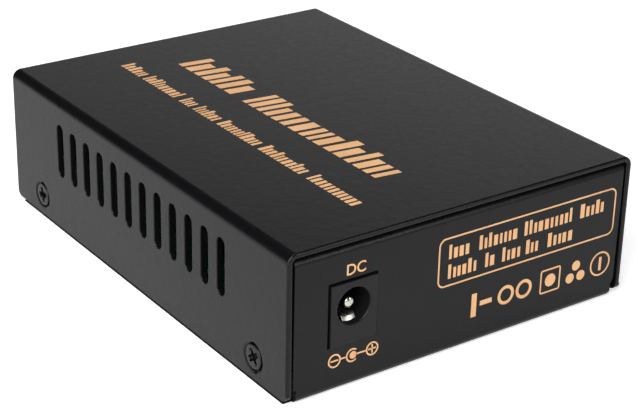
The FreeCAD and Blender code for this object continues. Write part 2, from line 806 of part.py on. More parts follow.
def dc_jack_spring_contact():
    """The bent strip that presses on the plug's sleeve from below."""
    body = jack_body("dc_jack_spring_contact")
    strip = new_sketch(body, "YZ")
    front, crest, sheet = "jack_spring_front", "jack_spring_crest", "jack_spring_sheet"
    low, high = f"jack_floor - {sheet}", "jack_floor + jack_spring_rise"
    heel = f"jack_spring_bed + {sheet}"
    outline(strip, [(front, low), (front, f"{low} + {sheet}"), (crest, f"{high} + {sheet}"),
                    (f"-jack_spring_tail - {sheet}", f"{heel} + {sheet}"),
                    (f"-jack_spring_tail - {sheet}", "jack_tail_end"),
                    ("-jack_spring_tail", "jack_tail_end"), ("-jack_spring_tail", heel),
                    (crest, high)])
    pad(strip, "jack_spring_width", both=True)
    fillet(body, straight_edges(body, "x", [(crest, f"{high} + {sheet}")]), f"4 * {sheet}")
    fillet(body, straight_edges(body, "x", [(crest, high)]), f"3 * {sheet}")
    return body


def dc_jack_switch_contact():
    body = jack_body("dc_jack_switch_contact")
    plate = new_sketch(body, "YZ", "-jack_barrel_side - jack_tail_sheet")
    back, front = ("-jack_switch_tail - jack_tail_width / 2",
                   "-jack_switch_tail + jack_tail_width / 2")
    rectangle(plate, back, "jack_tail_end", front, "jack_axis_height * 3 / 4")
    pad(plate, "jack_tail_sheet")
    return body


def copper_body(label):
    """A body in the copper socket's frame: face at y = 0, the board's top at z = 0."""
    return new_body(label, "copper_across", "-half_length", "board_top")


def spring_leaf(side, start, crest, end, swap=False):
    """Outline of a thin leaf that rises from a side wall to a crest and falls back to the wall."""
    sheet = "spring_sheet"
    points = [(side, start), (f"{side} + finger_rise - {sheet}", crest), (side, end),
              (f"{side} + {sheet}", end), (f"{side} + finger_rise", crest),
              (f"{side} + {sheet}", start)]
    return [(y, x) for x, y in points] if swap else points


def rj45_shield():
    """The folded shell round the copper socket, with two ground springs at each side."""
    body = copper_body("rj45_shield")
    block = new_sketch(body, "XZ")
    rectangle(block, "-copper_width / 2", "0", "copper_width / 2", "copper_height")
    pad(block, "copper_length", back=True)
    hollow = new_sketch(body, "XZ")
    rectangle(hollow, "-copper_inner_x", "-copper_height", "copper_inner_x", "copper_inner_top")
    pocket(hollow, "copper_inner_back")
    spring = new_sketch(body, "XY", "copper_height / 3")
    outline(spring, spring_leaf("(copper_width - copper_shield) / 2", "finger_start",
                                "finger_crest", "finger_start + finger_length"))
    leaf = pad(spring, "finger_width")
    repeat(body, "Z", "2", "copper_height / 3", [leaf])
    mirror(body, "YZ")
    return body


def rj45_housing():
    """The moulded insert: plug cavity, tab notch, contact room and two lamp windows."""
    body = copper_body("rj45_housing")
    block = new_sketch(body, "XZ")
    rectangle(block, "-copper_inner_x", "0", "copper_inner_x", "copper_inner_top")
    pad(block, "copper_inner_back", back=True)
    room = "copper_contact_pitch * copper_contact_count / 2"
    hollows = (
        ("-copper_plug_width / 2", "copper_plug_floor", "copper_plug_width / 2",
         "copper_plug_top", "copper_plug_depth"),
        ("-copper_tab_width / 2", "copper_plug_floor - copper_tab_drop", "copper_tab_width / 2",
         "copper_plug_floor", "copper_plug_depth * 3 / 4"),
        (f"-{room}", "copper_plug_top", room, "copper_plug_top + copper_contact_room",
         "copper_plug_depth"),
        ("window_inner", "window_floor", "window_outer", "window_ceiling",
         "copper_window_depth"),
        ("-window_outer", "window_floor", "-window_inner", "window_ceiling",
         "copper_window_depth"),
    )
    for left, low, right, high, depth in hollows:
        hollow = new_sketch(body, "XZ")
        rectangle(hollow, left, low, right, high)
        pocket(hollow, depth)
    return body


def rj45_contacts():
    """Eight bent wires that spring down into the plug cavity."""
    body = copper_body("rj45_contacts")
    run = "copper_contact_pitch * (copper_contact_count - 1)"
    wire = new_sketch(body, "YZ", f"-({run}) / 2")
    thick, back = "copper_contact_wire", "copper_plug_depth"
    nose, dip = "copper_plug_depth / 4", "copper_plug_top - copper_plug_height / 3"
    outline(wire, [(back, "contact_level"), (back, f"contact_level + {thick}"),
                   (f"{nose} + {thick}", f"contact_level + {thick}"), (nose, "contact_level"),
                   (f"{back} * 3 / 4", dip), (f"{back} * 3 / 4 + {thick}", f"{dip} + {thick}"),
                   (f"{nose} + 4 * {thick}", "contact_level")])
    pad(wire, "copper_contact_width", both=True)
    repeat(body, "X", "copper_contact_count", run)
    return body


def rj45_window(label, left, right):
    """A clear window that fills its pocket in the socket's face."""
    body = copper_body(label)
    pane = new_sketch(body, "XZ")
    rectangle(pane, left, "window_floor", right, "window_ceiling")
    pad(pane, "copper_window_depth", back=True)
    return body


def cage_body(label):
    """A body in the module cage's frame: mouth at y = 0, the board's top at z = 0."""
    return new_body(label, "cage_across", "-half_length", "board_top")


def sfp_cage():
    """A long folded cage: open mouth, closed back, cooling holes, latch hole, open rear floor."""
    body = cage_body("sfp_cage")
    block = new_sketch(body, "XZ")
    rectangle(block, "-cage_width / 2", "0", "cage_width / 2", "cage_height")
    pad(block, "cage_length", back=True)
    hollow = new_sketch(body, "XZ")
    rectangle(hollow, "-cage_inner_x", "cage_sheet", "cage_inner_x", "cage_inner_top")
    pocket(hollow, "cage_length - cage_sheet")
    bottom = new_sketch(body, "XY")
    half_socket = "edge_socket_width / 2 + cage_sheet"
    rectangle(bottom, f"-({half_socket})", "edge_socket_front - 2 * cage_sheet", half_socket,
              "edge_socket_back + cage_sheet / 2")
    latch, reach = "cage_width / 8", "cage_width / 3"
    outline(bottom, [(f"-{latch}", reach), (latch, reach), ("0", f"{reach} + {latch}")])
    pocket(bottom, "3 * cage_sheet", both=True)
    holes = new_sketch(body, "XY", "cage_height")
    first = "cage_length / 3"
    for side in ("", "-"):
        polygon(holes, f"{side}cage_hole_rows / 2", first, "cage_hole / 2", "cage_hole_sides")
    cooling = pocket(holes, "cage_height / 2")
    repeat(body, "Y", "cage_hole_count", "(cage_hole_count - 1) * cage_hole_pitch", [cooling])
    return body


def sfp_spring_collar():
    """A stamped collar round the cage's mouth; its leaves ground the cage to the front panel."""
    body = cage_body("sfp_spring_collar")
    band = new_sketch(body, "XZ", "-finger_start")
    side, top = "cage_width / 2", "cage_height"
    outer_side, outer_top = f"{side} + spring_sheet", f"{top} + spring_sheet"
    outline(band, [(f"-({outer_side})", "0"), (f"-{side}", "0"), (f"-{side}", top), (side, top),
                   (side, "0"), (outer_side, "0"), (outer_side, outer_top),
                   (f"-({outer_side})", outer_top)])
    pad(band, "spring_band", back=True)
    end = "finger_start + finger_length"
    upper = new_sketch(body, "YZ", "-3 / 2 * finger_pitch")
    outline(upper, spring_leaf(top, "finger_start", "finger_crest", end, swap=True))
    leaf = pad(upper, "finger_width", both=True)
    repeat(body, "X", "4", "3 * finger_pitch", [leaf])
    flank = new_sketch(body, "XY", f"{top} / 2 - finger_pitch / 2")
    outline(flank, spring_leaf(side, "finger_start", "finger_crest", end))
    leaf = pad(flank, "finger_width", both=True)
    repeat(body, "Z", "2", "finger_pitch", [leaf])
    mirror(body, "YZ")
    return body


def sfp_connector():
    """The moulded card-edge socket at the cage's back."""
    body = cage_body("sfp_connector")
    block = new_sketch(body, "XZ", "-edge_socket_front")
    rectangle(block, "-edge_socket_width / 2", "0", "edge_socket_width / 2",
              "edge_socket_height")
    pad(block, "edge_socket_length", back=True)
    mouth = new_sketch(body, "XZ", "-edge_socket_front")
    half_slot = "(edge_contact_count + 1) * edge_contact_pitch / 2"
    rectangle(mouth, f"-{half_slot}", "edge_slot_level", half_slot,
              "edge_slot_level + edge_socket_slot")
    pocket(mouth, "edge_slot_depth")
    rim = [("edge_socket_front", "edge_socket_height")]
    chamfer(body, straight_edges(body, "x", rim), "edge_socket_height / 6")
    return body


def sfp_connector_contacts():
    """Two rows of small leaf contacts along the roof and the floor of the card slot."""
    body = cage_body("sfp_connector_contacts")
    run = "(edge_contact_count - 1) * edge_contact_pitch"
    leaf = new_sketch(body, "YZ", f"-({run}) / 2")
    back, front = "edge_socket_front + edge_slot_depth", "edge_socket_front + spring_sheet"
    middle, thin = "edge_socket_front + edge_slot_depth / 3", "spring_sheet"
    roof = "edge_slot_level + edge_socket_slot"
    for level, sign in ((roof, "-"), ("edge_slot_level", "+")):
        outline(leaf, [(front, level), (back, level), (back, f"{level} {sign} {thin} / 2"),
                       (middle, f"{level} {sign} 2 * {thin}"),
                       (front, f"{level} {sign} {thin} / 2")])
    pad(leaf, "edge_contact_width", both=True)
    repeat(body, "X", "edge_contact_count", run)
    return body


def light_guide():
    """One clear moulding: an arm to each window, a 45-degree mirror face, a leg, and a bar."""
    body = new_body("light_guide", "lamp_first", "-half_length", "board_top")
    arm = new_sketch(body, "YZ")
    inner = "guide_length - guide_leg"
    outline(arm, [("0", "guide_under"), ("0", "guide_top"),
                  ("guide_length - guide_height", "guide_top"), ("guide_length", "guide_under"),
                  ("guide_length", "guide_foot"), (inner, "guide_foot"), (inner, "guide_under")])
    first = pad(arm, "guide_width", both=True)
    repeat(body, "X", "lamp_count", "lamp_row", [first])
    bar = new_sketch(body, "YZ")
    rectangle(bar, inner, "guide_under - guide_bar", "guide_length", "guide_under")
    pad(bar, "lamp_row")
    return body


def indicator_leds():
    """Three square lamps on the board, one under each leg of the light guide."""
    body = new_body("indicator_leds", "lamp_first",
                    "-half_length + guide_length - guide_leg / 2", "board_top")
    square_pad(body, "lamp_size / 2", "lamp_height")
    repeat(body, "X", "lamp_count", "lamp_row")
    return body


def square_pad(body, half, height, level="0"):
    blank = new_sketch(body, "XY", level)
    rectangle(blank, f"-{half}", f"-{half}", half, half)
    return pad(blank, height)


def phy_chip():
    """A ball-grid package: a thin carrier with a smaller moulded cap."""
    body = new_body("phy_chip", "line_chip_across", "line_chip_along", "board_top")
    square_pad(body, "line_chip_size / 2", "line_chip_height / 3")
    square_pad(body, "(line_chip_size / 2 - pad_height)", "line_chip_height")
    return body


def thermal_pad():
    body = new_body("thermal_pad", "line_chip_across", "line_chip_along",
                    "board_top + line_chip_height")
    square_pad(body, "(line_chip_size / 2 - pad_height)", "pad_height")
    return body


def heatsink():
    """An extruded comb: a flat base and a row of upright fins."""
    body = new_body("heatsink", "line_chip_across", "line_chip_along", "board_top + sink_under")
    square_pad(body, "sink_size / 2", "sink_base")
    fin = new_sketch(body, "XZ")
    rectangle(fin, "-sink_size / 2", "0", "-sink_size / 2 + sink_fin", "sink_height")
    first = pad(fin, "sink_size", both=True)
    repeat(body, "X", "sink_fin_count", "sink_pitch * (sink_fin_count - 1)", [first])
    return body


def bridge_chip():
    body = new_body("bridge_chip", "cage_across", "bridge_chip_along", "board_top")
    square_pad(body, "bridge_chip_size / 2", "bridge_chip_height")
    chamfer(body, level_edges(body, "z", "bridge_chip_height"), "bridge_chip_height / 6")
    return body


def small_chip(label, along, count):
    """One or more eight-lead packages, in a column along the board's edge."""
    body = new_body(label, "-small_chip_across", along, "board_top + small_chip_lift")
    blank = new_sketch(body, "XY")
    rectangle(blank, "-small_chip_width / 2", "-small_chip_length / 2", "small_chip_width / 2",
              "small_chip_length / 2")
    pad(blank, "small_chip_height")
    edge = [("-small_chip_width / 2", "small_chip_height")]
    chamfer(body, straight_edges(body, "y", edge), "small_chip_height / 4")
    if count > 1:
        repeat(body, "Y", str(count), f"{count - 1} * small_chip_spacing")
    return body


def chip_leads():
    """Gull-wing leads of all three small chips."""
    body = new_body("chip_leads", "-small_chip_across", "small_chip_along", "board_top")
    lead = new_sketch(body, "XZ", "3 / 2 * chip_lead_pitch")
    root, thick, level = "small_chip_width / 2", "chip_lead_sheet", "chip_lead_level"
    knee, toe = f"{root} + chip_lead_reach / 3", f"{root} + chip_lead_reach"
    outline(lead, [(root, level), (knee, level), (knee, "0"), (toe, "0"), (toe, thick),
                   (f"{knee} + {thick}", thick), (f"{knee} + {thick}", f"{level} + {thick}"),
                   (root, f"{level} + {thick}")])
    pad(lead, "chip_lead_width", both=True)
    repeat(body, "Y", "4", "3 * chip_lead_pitch")
    mirror(body, "YZ")
    repeat(body, "Y", "3", "2 * small_chip_spacing")
    return body


def clock_crystal():
    """A low ceramic tray with a smaller metal lid."""
    body = new_body("clock_crystal", "crystal_across", "line_chip_along", "board_top")
    for inset, height in (("0", "crystal_height - crystal_rim"), ("crystal_rim", "crystal_height")):
        half_width, half_length = f"(crystal_width / 2 - {inset})", f"(crystal_length / 2 - {inset})"
        step = new_sketch(body, "XY")
        rectangle(step, f"-{half_width}", f"-{half_length}", half_width, half_length)
        pad(step, height)
    return body


def power_inductors():
    body = new_body("power_inductors", "-coil_across", "coil_along", "board_top")
    square_pad(body, "coil_size / 2", "coil_height")
    corners = [(f"{x}coil_size / 2", f"{y}coil_size / 2") for x in ("", "-") for y in ("", "-")]
    chamfer(body, straight_edges(body, "z", corners), "2 * coil_edge")
    chamfer(body, level_edges(body, "z", "coil_height"), "coil_edge")
    repeat(body, "Y", "2", "coil_spacing")
    return body


def capacitor_bases():
    """Square moulded feet with two corners cut, under the round cans."""
    body = new_body("capacitor_bases", "can_across", "can_along", "board_top")
    square_pad(body, "can_base_size / 2", "can_base_height")
    cut = [(f"{x}can_base_size / 2", "can_base_size / 2") for x in ("", "-")]
    chamfer(body, straight_edges(body, "z", cut), "can_base_cut")
    repeat(body, "Y", "2", "can_spacing")
    return body


def capacitor_cans():
    body = new_body("capacitor_cans", "can_across", "can_along", "board_top + can_base_height")
    can = new_sketch(body, "XY")
    circle(can, "0", "0", "can_diameter / 2")
    pad(can, "can_height")
    repeat(body, "Y", "2", "can_spacing")
    return body


def ceramic_capacitors():
    """Two rows of small ceramic blocks, one by the bridge chip and one by the heat sink."""
    body = new_body("ceramic_capacitors", z="board_top")
    blocks = new_sketch(body, "XY")
    rows = (("cage_across", "bridge_chip_along + bridge_chip_size / 2"),
            ("line_chip_across", "line_chip_along + sink_size / 2"))
    for middle, edge in rows:
        left, low = f"{middle} - capacitor_row / 2", f"{edge} + chip_capacitor_gap"
        rectangle(blocks, f"{left} - chip_capacitor_width / 2", low,
                  f"{left} + chip_capacitor_width / 2", f"{low} + chip_capacitor_length")
    pad(blocks, "chip_capacitor_height")
    repeat(body, "X", "chip_capacitor_count", "capacitor_row")
    return body


top_cover()
base_chassis()
cover_screws()
board_standoffs()
board_screws()
main_board()
dc_jack_housing()
dc_jack_centre_pin()
dc_jack_spring_contact()
dc_jack_switch_contact()
rj45_shield()
rj45_housing()
rj45_contacts()
rj45_window("rj45_link_window", "-window_outer", "-window_inner")
rj45_window("rj45_activity_window", "window_inner", "window_outer")
sfp_cage()
sfp_spring_collar()
sfp_connector()
sfp_connector_contacts()
light_guide()
indicator_leds()
phy_chip()
thermal_pad()
heatsink()
bridge_chip()
small_chip("flash_memory", "small_chip_along", 1)
small_chip("regulator_chips", "small_chip_along + small_chip_spacing", 2)
chip_leads()
clock_crystal()
power_inductors()
capacitor_bases()
capacitor_cans()
ceramic_capacitors()
doc.recompute()

failed = [item.Label for item in doc.Objects if {"Invalid", "Error"} & set(item.State)]
failed += [body.Label for body in parts if body.Shape.isNull() or not body.Shape.isValid()]
if failed:
    raise RuntimeError(f"these did not build: {failed}")

os.makedirs("parts", exist_ok=True)
for body in parts:
    body.Shape.exportStep(f"parts/{body.Label}.step")
    print(body.Label, len(body.Shape.Solids), round(body.Shape.Volume, 1))
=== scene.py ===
import math
import random

import bmesh
import bpy
from mathutils import Matrix, Vector


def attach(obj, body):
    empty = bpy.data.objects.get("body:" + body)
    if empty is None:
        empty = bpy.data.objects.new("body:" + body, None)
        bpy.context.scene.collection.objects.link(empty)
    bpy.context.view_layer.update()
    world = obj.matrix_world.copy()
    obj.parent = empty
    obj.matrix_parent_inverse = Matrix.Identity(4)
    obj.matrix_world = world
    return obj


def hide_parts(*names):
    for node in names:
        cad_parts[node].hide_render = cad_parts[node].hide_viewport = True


# Fibre media converter: a black powder-coated steel case, its rear power jack, its front data
# sockets and the circuit board inside.  Metres, +Z up.  The data sockets face -Y, the jack +Y.

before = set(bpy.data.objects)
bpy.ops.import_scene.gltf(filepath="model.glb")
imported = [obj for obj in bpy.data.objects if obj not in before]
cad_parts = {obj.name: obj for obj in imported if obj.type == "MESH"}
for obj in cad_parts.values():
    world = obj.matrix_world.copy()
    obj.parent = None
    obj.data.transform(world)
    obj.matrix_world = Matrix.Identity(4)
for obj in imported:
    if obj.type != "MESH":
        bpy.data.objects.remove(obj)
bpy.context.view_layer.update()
scene = bpy.context.scene
MM = 0.001

# Faces of the case that the other places are set out from, in mm.
WALL_FACE = 35.85
CASE_END = 47.0
CASE_TOP = 26.9
PANEL_FACE = 46.8
# A point nearer to a face than this lies on it.
ON_FACE = 0.01
# The ink stands this far over the surface and starts as far under it.
INK_HEIGHT = 0.02
# Faces flatter than the first angle are joined, and edges sharper than the second stay edges.
FLAT_ANGLE = math.radians(0.6)
SHARP_ANGLE = math.radians(32)


def set_in(name, data):
    """A new object in the scene that holds the data, at the origin."""
    thing = bpy.data.objects.new(name, data)
    scene.collection.objects.link(thing)
    return thing


def coat(mesh, *finishes):
    """Give a mesh these finishes and no others."""
    mesh.materials.clear()
    for finish in finishes:
        mesh.materials.append(finish)


# ---------------------------------------------------------------- finishes

def linear(code):
    """An sRGB hex colour as the linear colour that a shader takes."""
    parts = [int(code[i:i + 2], 16) / 255 for i in (1, 3, 5)]
    return [c / 12.92 if c <= 0.04045 else ((c + 0.055) / 1.055) ** 2.4 for c in parts] + [1.0]


def add_node(tree, kind, settings=None, links=None):
    """Add a node.  Settings are its own fields or its inputs' values, links feed its inputs.

    A link comes from a socket, or from the first output of a node.
    """
    node = tree.nodes.new(kind)
    for key, value in (settings or {}).items():
        if isinstance(key, int) or key in node.inputs:
            node.inputs[key].default_value = value
        else:
            setattr(node, key, value)
    for key, source in (links or {}).items():
        socket = source.outputs[0] if isinstance(source, bpy.types.Node) else source
        tree.links.new(socket, node.inputs[key])
    return node


# Where a Mix node takes and gives its colours, and where it takes its numbers.
COLOUR_A, COLOUR_B, COLOUR_OUT = 6, 7, 2
NUMBER_A, NUMBER_B = 2, 3
# Most of a soft noise lies between 0.3 and 0.7, so it is read from there.
NOISE_SPREAD = {"From Min": 0.3, "From Max": 0.7, "To Min": 0.0, "To Max": 1.0}


def new_finish(name):
    """An empty material, and the place on the object that its patterns read."""
    material = bpy.data.materials.new(name)
    material.use_nodes = True
    tree = material.node_tree
    tree.nodes.clear()
    return material, tree, add_node(tree, "ShaderNodeTexCoord").outputs["Object"]


def speckle(tree, place, size, detail=2.0, stretch=(1, 1, 1)):
    """Soft spots about size mm across, stretched along the axes."""
    spread = add_node(tree, "ShaderNodeMapping", {"Scale": stretch}, {"Vector": place})
    return add_node(tree, "ShaderNodeTexNoise", {"Scale": 1 / (size * MM), "Detail": detail},
                    {"Vector": spread})


def cloudy(tree, place, size, colours):
    """Two close colours that lie in soft clouds about size mm across."""
    share = add_node(tree, "ShaderNodeMapRange", NOISE_SPREAD,
                     {"Value": speckle(tree, place, size, 3.0)})
    first, second = (linear(code) for code in colours)
    return add_node(tree, "ShaderNodeMix",
                    {"data_type": "RGBA", COLOUR_A: first, COLOUR_B: second},
                    {0: share}).outputs[COLOUR_OUT]


def surface(name, colours, gloss, grain, depth, cloud=9.0, stretch=(1, 1, 1), more=None):
    """A finish in two close colours, lying in soft clouds, with a fine grain.

    gloss is its smoothest and its roughest roughness.  The grain and the clouds are in mm, and
    depth is how deep the grain dents the surface, in mm.  more is the shader's other values.
    """
    material, tree, place = new_finish(name)
    fine = speckle(tree, place, grain, stretch=stretch)
    shader = add_node(tree, "ShaderNodeBsdfPrincipled", more, {
        "Base Color": cloudy(tree, place, cloud, colours),
        "Roughness": add_node(tree, "ShaderNodeMapRange",
                              {**NOISE_SPREAD, "To Min": gloss[0], "To Max": gloss[1]},
                              {"Value": fine}),
        "Normal": add_node(tree, "ShaderNodeBump", {"Strength": 1.0, "Distance": depth * MM},
                           {"Height": fine})})
    add_node(tree, "ShaderNodeOutputMaterial", links={"Surface": shader})
    return material


def powder_coat(name, colours, gloss):
    """Black polyester powder, sprayed dry and baked on sheet steel.

    It gives a deep black with a soft sheen, a fine sandy grain and a faint orange peel.  The
    grain is 0.1 mm across, drawn 0.3 mm across so that it shows.
    """
    material, tree, place = new_finish(name)
    sand = speckle(tree, place, 0.3, 1.0)
    peel = add_node(tree, "ShaderNodeBump", {"Strength": 1.0, "Distance": 0.02 * MM},
                    {"Height": speckle(tree, place, 1.8, 1.0)})
    shader = add_node(
        tree, "ShaderNodeBsdfPrincipled",
        {"Specular IOR Level": 0.22, "Specular Tint": linear("#fafcff")},
        {"Base Color": cloudy(tree, place, 22.0, colours),
         "Roughness": add_node(tree, "ShaderNodeMapRange",
                               {**NOISE_SPREAD, "To Min": gloss[0], "To Max": gloss[1]},
                               {"Value": sand}),
         "Normal": add_node(tree, "ShaderNodeBump", {"Strength": 1.0, "Distance": 0.012 * MM},
                            {"Height": sand, "Normal": peel})})
    add_node(tree, "ShaderNodeOutputMaterial", links={"Surface": shader})
    return material


METAL = {"Metallic": 1.0}

# Powder coat on the case, and the same where it pulls thin and glossier over a cut edge; there
# its colour is also a touch lighter, as a painted highlight.
PAINT = powder_coat("powder_coated_steel", ("#08080a", "#0c0c0d"), gloss=(0.27, 0.35))
PAINT_EDGE = powder_coat("powder_coat_thin_with_painted_edge_highlight", ("#0a0a0b", "#0e0e0f"),
                         gloss=(0.22, 0.30))

# The grain of the next finishes is finer than 0.1 mm on the real ones, and is drawn 0.2 to
# 0.8 mm across so that it shows.
# Bright nickel over turned and stamped steel: light grey, soft reflections, faint stains.
NICKEL = surface("nickel_plated_steel", ("#b6b4ad", "#c8c6bf"), gloss=(0.20, 0.34),
                 grain=0.5, depth=0.004, stretch=(1, 6, 1), more=METAL)
# Tin on rolled sheet, as on shields and cages: cooler grey with long rolling lines.
TIN = surface("tin_plated_sheet", ("#a3a5a6", "#b9bbbb"), gloss=(0.26, 0.42),
              grain=0.45, depth=0.005, stretch=(1, 0.08, 1), more=METAL)
# Nickel on the turned brass pin of the jack: bright, with a warm tint and turning lines.
JACK_PIN = surface("nickel_plated_brass", ("#c9c5ba", "#dad6cb"), gloss=(0.14, 0.24),
                   grain=0.3, depth=0.003, stretch=(0.2, 5, 0.2), more=METAL)
# Hard bronze strip with bright tin: the springs that rub on the plug.
SPRING = surface("tinned_bronze_strip", ("#c9c4ba", "#d9d4cb"), gloss=(0.22, 0.34),
                 grain=0.4, depth=0.004, stretch=(1, 0.1, 1), more=METAL)
# Thin gold over nickel on stamped contacts: warm yellow and smooth.
GOLD = surface("gold_flashed_contact", ("#c9993f", "#dcae55"), gloss=(0.16, 0.28),
               grain=0.4, depth=0.002, more=METAL)
# Black glass-filled nylon, moulded against a spark-eroded tool: a fine even matt.
MOULDED = surface("moulded_black_nylon", ("#0e0e10", "#131315"), gloss=(0.34, 0.46),
                  grain=0.25, depth=0.006, more={"Specular IOR Level": 0.24})
# Epoxy moulding compound on chips: charcoal, dead matt, a sandy feel.
CHIP = surface("epoxy_moulding", ("#1a1b1d", "#242527"), gloss=(0.55, 0.72),
               grain=0.22, depth=0.010)
# Silicone gap pad: pale blue-grey rubber with a soft skin.
PAD = surface("silicone_gap_pad", ("#7f8b96", "#8d99a4"), gloss=(0.62, 0.78),
              grain=0.6, depth=0.015)
# Black anodised aluminium extrusion: dark with lines along the fins.
SINK = surface("black_anodised_aluminium", ("#17181a", "#222326"), gloss=(0.34, 0.50),
               grain=0.3, depth=0.006, stretch=(1, 0.08, 1), more={"Metallic": 0.55})
# Drawn aluminium can: bright, with draw lines up its side.
CAN = surface("drawn_aluminium_can", ("#bcbec0", "#cdcfd0"), gloss=(0.22, 0.36),
              grain=0.4, depth=0.004, stretch=(1, 1, 0.1), more=METAL)
# Pressed ferrite powder: dark grey with a mineral sparkle.
FERRITE = surface("pressed_ferrite", ("#35332f", "#47443e"), gloss=(0.60, 0.80),
                  grain=0.3, depth=0.02)
# Fired barium titanate: a biscuit brown, slightly glazed.
CERAMIC = surface("fired_ceramic_capacitor", ("#8d7a5c", "#a08c6b"), gloss=(0.36, 0.50),
                  grain=0.3, depth=0.004)
# Screen-printed epoxy ink with a bronze pigment: flat, warm and light, ragged in gloss only.
INK = surface("screen_printed_bronze_ink", ("#d9a472", "#e2b180"), gloss=(0.48, 0.62),
              grain=0.35, depth=0.004, cloud=4.0)
# Phosphor under clear silicone on an unlit lamp: a chalky yellow.
LAMP = surface("unlit_lamp_phosphor", ("#d8cf9a", "#e2daa9"), gloss=(0.25, 0.38),
               grain=0.4, depth=0.004)


def clear_plastic(name, colours, gloss, clearness):
    """Clear or tinted acrylic, injection moulded: glassy, with faint flow haze inside."""
    return surface(name, colours, gloss, grain=0.8, depth=0.003,
                   more={"Transmission Weight": clearness, "IOR": 1.49})


GUIDE = clear_plastic("clear_acrylic_light_guide", ("#dfe3e2", "#eef1f0"), (0.06, 0.14), 0.7)
LINK_WINDOW = clear_plastic("green_tinted_lens", ("#4f9a4a", "#62ad5a"), (0.12, 0.22), 0.35)
ACTIVITY_WINDOW = clear_plastic("amber_tinted_lens", ("#c68a26", "#d59a38"), (0.12, 0.22), 0.35)


def black_screw_finish():
    """Black oxide on cold-headed steel, with painted shade deep in the recess.

    It is a dark satin that shows the steel's shine in small lights.  Deep down its colour is
    painted near black, as shade.
    Its grain is drawn 0.35 mm across so that it shows.
    """
    material, tree, place = new_finish("black_oxide_steel")
    fine = speckle(tree, place, 0.35)
    share = add_node(tree, "ShaderNodeMapRange", NOISE_SPREAD, {"Value": fine})
    steel = add_node(tree, "ShaderNodeMix", {
        "data_type": "RGBA", COLOUR_A: linear("#26272a"), COLOUR_B: linear("#313235")},
        {0: share}).outputs[COLOUR_OUT]
    # How far a spot lies from the middle of the case tells how deep in the recess it is; deep
    # spots get painted shade.
    out = add_node(tree, "ShaderNodeMath", {"operation": "ABSOLUTE"},
                   {0: add_node(tree, "ShaderNodeSeparateXYZ", links={0: place})})
    # Between these depths the painted shade fades into the bare steel colour.
    shade_starts, shade_ends = WALL_FACE - 0.23, WALL_FACE - 0.13
    unshaded_share = add_node(tree, "ShaderNodeMapRange", {
        "From Min": shade_starts * MM, "From Max": shade_ends * MM, "To Min": 0.0, "To Max": 1.0},
        {"Value": out})
    shader = add_node(tree, "ShaderNodeBsdfPrincipled", {"Metallic": 0.85}, {
        "Base Color": add_node(tree, "ShaderNodeMix",
                               {"data_type": "RGBA", COLOUR_A: linear("#030303")},
                               {0: unshaded_share, COLOUR_B: steel}).outputs[COLOUR_OUT],
        "Roughness": add_node(tree, "ShaderNodeMapRange",
                              {**NOISE_SPREAD, "To Min": 0.24, "To Max": 0.38},
                              {"Value": fine}),
        "Normal": add_node(tree, "ShaderNodeBump", {"Strength": 1.0, "Distance": 0.006 * MM},
                           {"Height": fine})})
    add_node(tree, "ShaderNodeOutputMaterial", links={"Surface": shader})
    return material


BLACK_SCREW = black_screw_finish()


def circuit_board_finish():
    """Green solder mask over etched copper on glass cloth.

    Tracks show as paler, slightly raised lines, 0.25 mm wide at a 1.3 mm spacing, and drawn
    twice as wide as real ones so that they show.  The cloth weave shows through faintly.
    """
    material, tree, place = new_finish("green_solder_mask")
    track_pitch = 1.3 * MM
    tracks = []
    for turn in (0.0, math.radians(90)):
        laid = add_node(tree, "ShaderNodeMapping",
                        {"Rotation": (0, 0, turn), "Scale": (1 / track_pitch,) * 3},
                        {"Vector": place})
        tracks.append(add_node(tree, "ShaderNodeTexBrick",
                               {"Scale": 1.0, "Mortar Size": 0.09, "Mortar Smooth": 0.1,
                                "Brick Width": 9.0, "Row Height": 1.0, "offset": 0.37},
                               {"Vector": laid}).outputs["Fac"])
    # The tracks run one way in some patches of the board and the other way in the rest.
    patches = add_node(tree, "ShaderNodeMapRange", {
        "From Min": 0.46, "From Max": 0.54, "To Min": 0.0, "To Max": 1.0},
        {"Value": speckle(tree, place, 7.0, 0.0)})
    copper = add_node(tree, "ShaderNodeMix", {"data_type": "FLOAT"},
                      {0: patches, NUMBER_A: tracks[0], NUMBER_B: tracks[1]})
    weave = speckle(tree, place, 0.5, 0.0)
    weave_relief = add_node(tree, "ShaderNodeBump", {"Strength": 1.0, "Distance": 0.004 * MM},
                            {"Height": weave})
    shader = add_node(tree, "ShaderNodeBsdfPrincipled", links={
        "Base Color": add_node(
            tree, "ShaderNodeMix", {"data_type": "RGBA", COLOUR_B: linear("#10392a")},
            {0: copper, COLOUR_A: cloudy(tree, place, 12.0, ("#062014", "#082719"))},
        ).outputs[COLOUR_OUT],
        "Roughness": add_node(tree, "ShaderNodeMapRange",
                              {**NOISE_SPREAD, "To Min": 0.24, "To Max": 0.36},
                              {"Value": weave}),
        "Normal": add_node(tree, "ShaderNodeBump", {"Strength": 1.0, "Distance": 0.03 * MM},
                           {"Height": copper, "Normal": weave_relief})})
    add_node(tree, "ShaderNodeOutputMaterial", links={"Surface": shader})
    return material


BOARD = circuit_board_finish()


# ---------------------------------------------------------------- what repeats

def grow_tree(name, inputs):
    """A Geometry Nodes tree with named inputs and one output, and the inputs' sockets."""
    tree = bpy.data.node_groups.new(name, "GeometryNodeTree")
    for word, kind in inputs:
        tree.interface.new_socket(word, in_out="INPUT", socket_type=kind)
    tree.interface.new_socket("Grown", in_out="OUTPUT", socket_type="NodeSocketGeometry")
    return tree, add_node(tree, "NodeGroupInput").outputs


def seed_points(name, spots, values):
    """Seed points at spots in mm, with a named list of numbers for each kind of value."""
    seeds = bpy.data.meshes.new(name)
    seeds.from_pydata([[length * MM for length in spot] for spot in spots], [], [])
    for word, numbers in values.items():
        seeds.attributes.new(word, "FLOAT", "POINT").data.foreach_set("value", numbers)
    return seeds


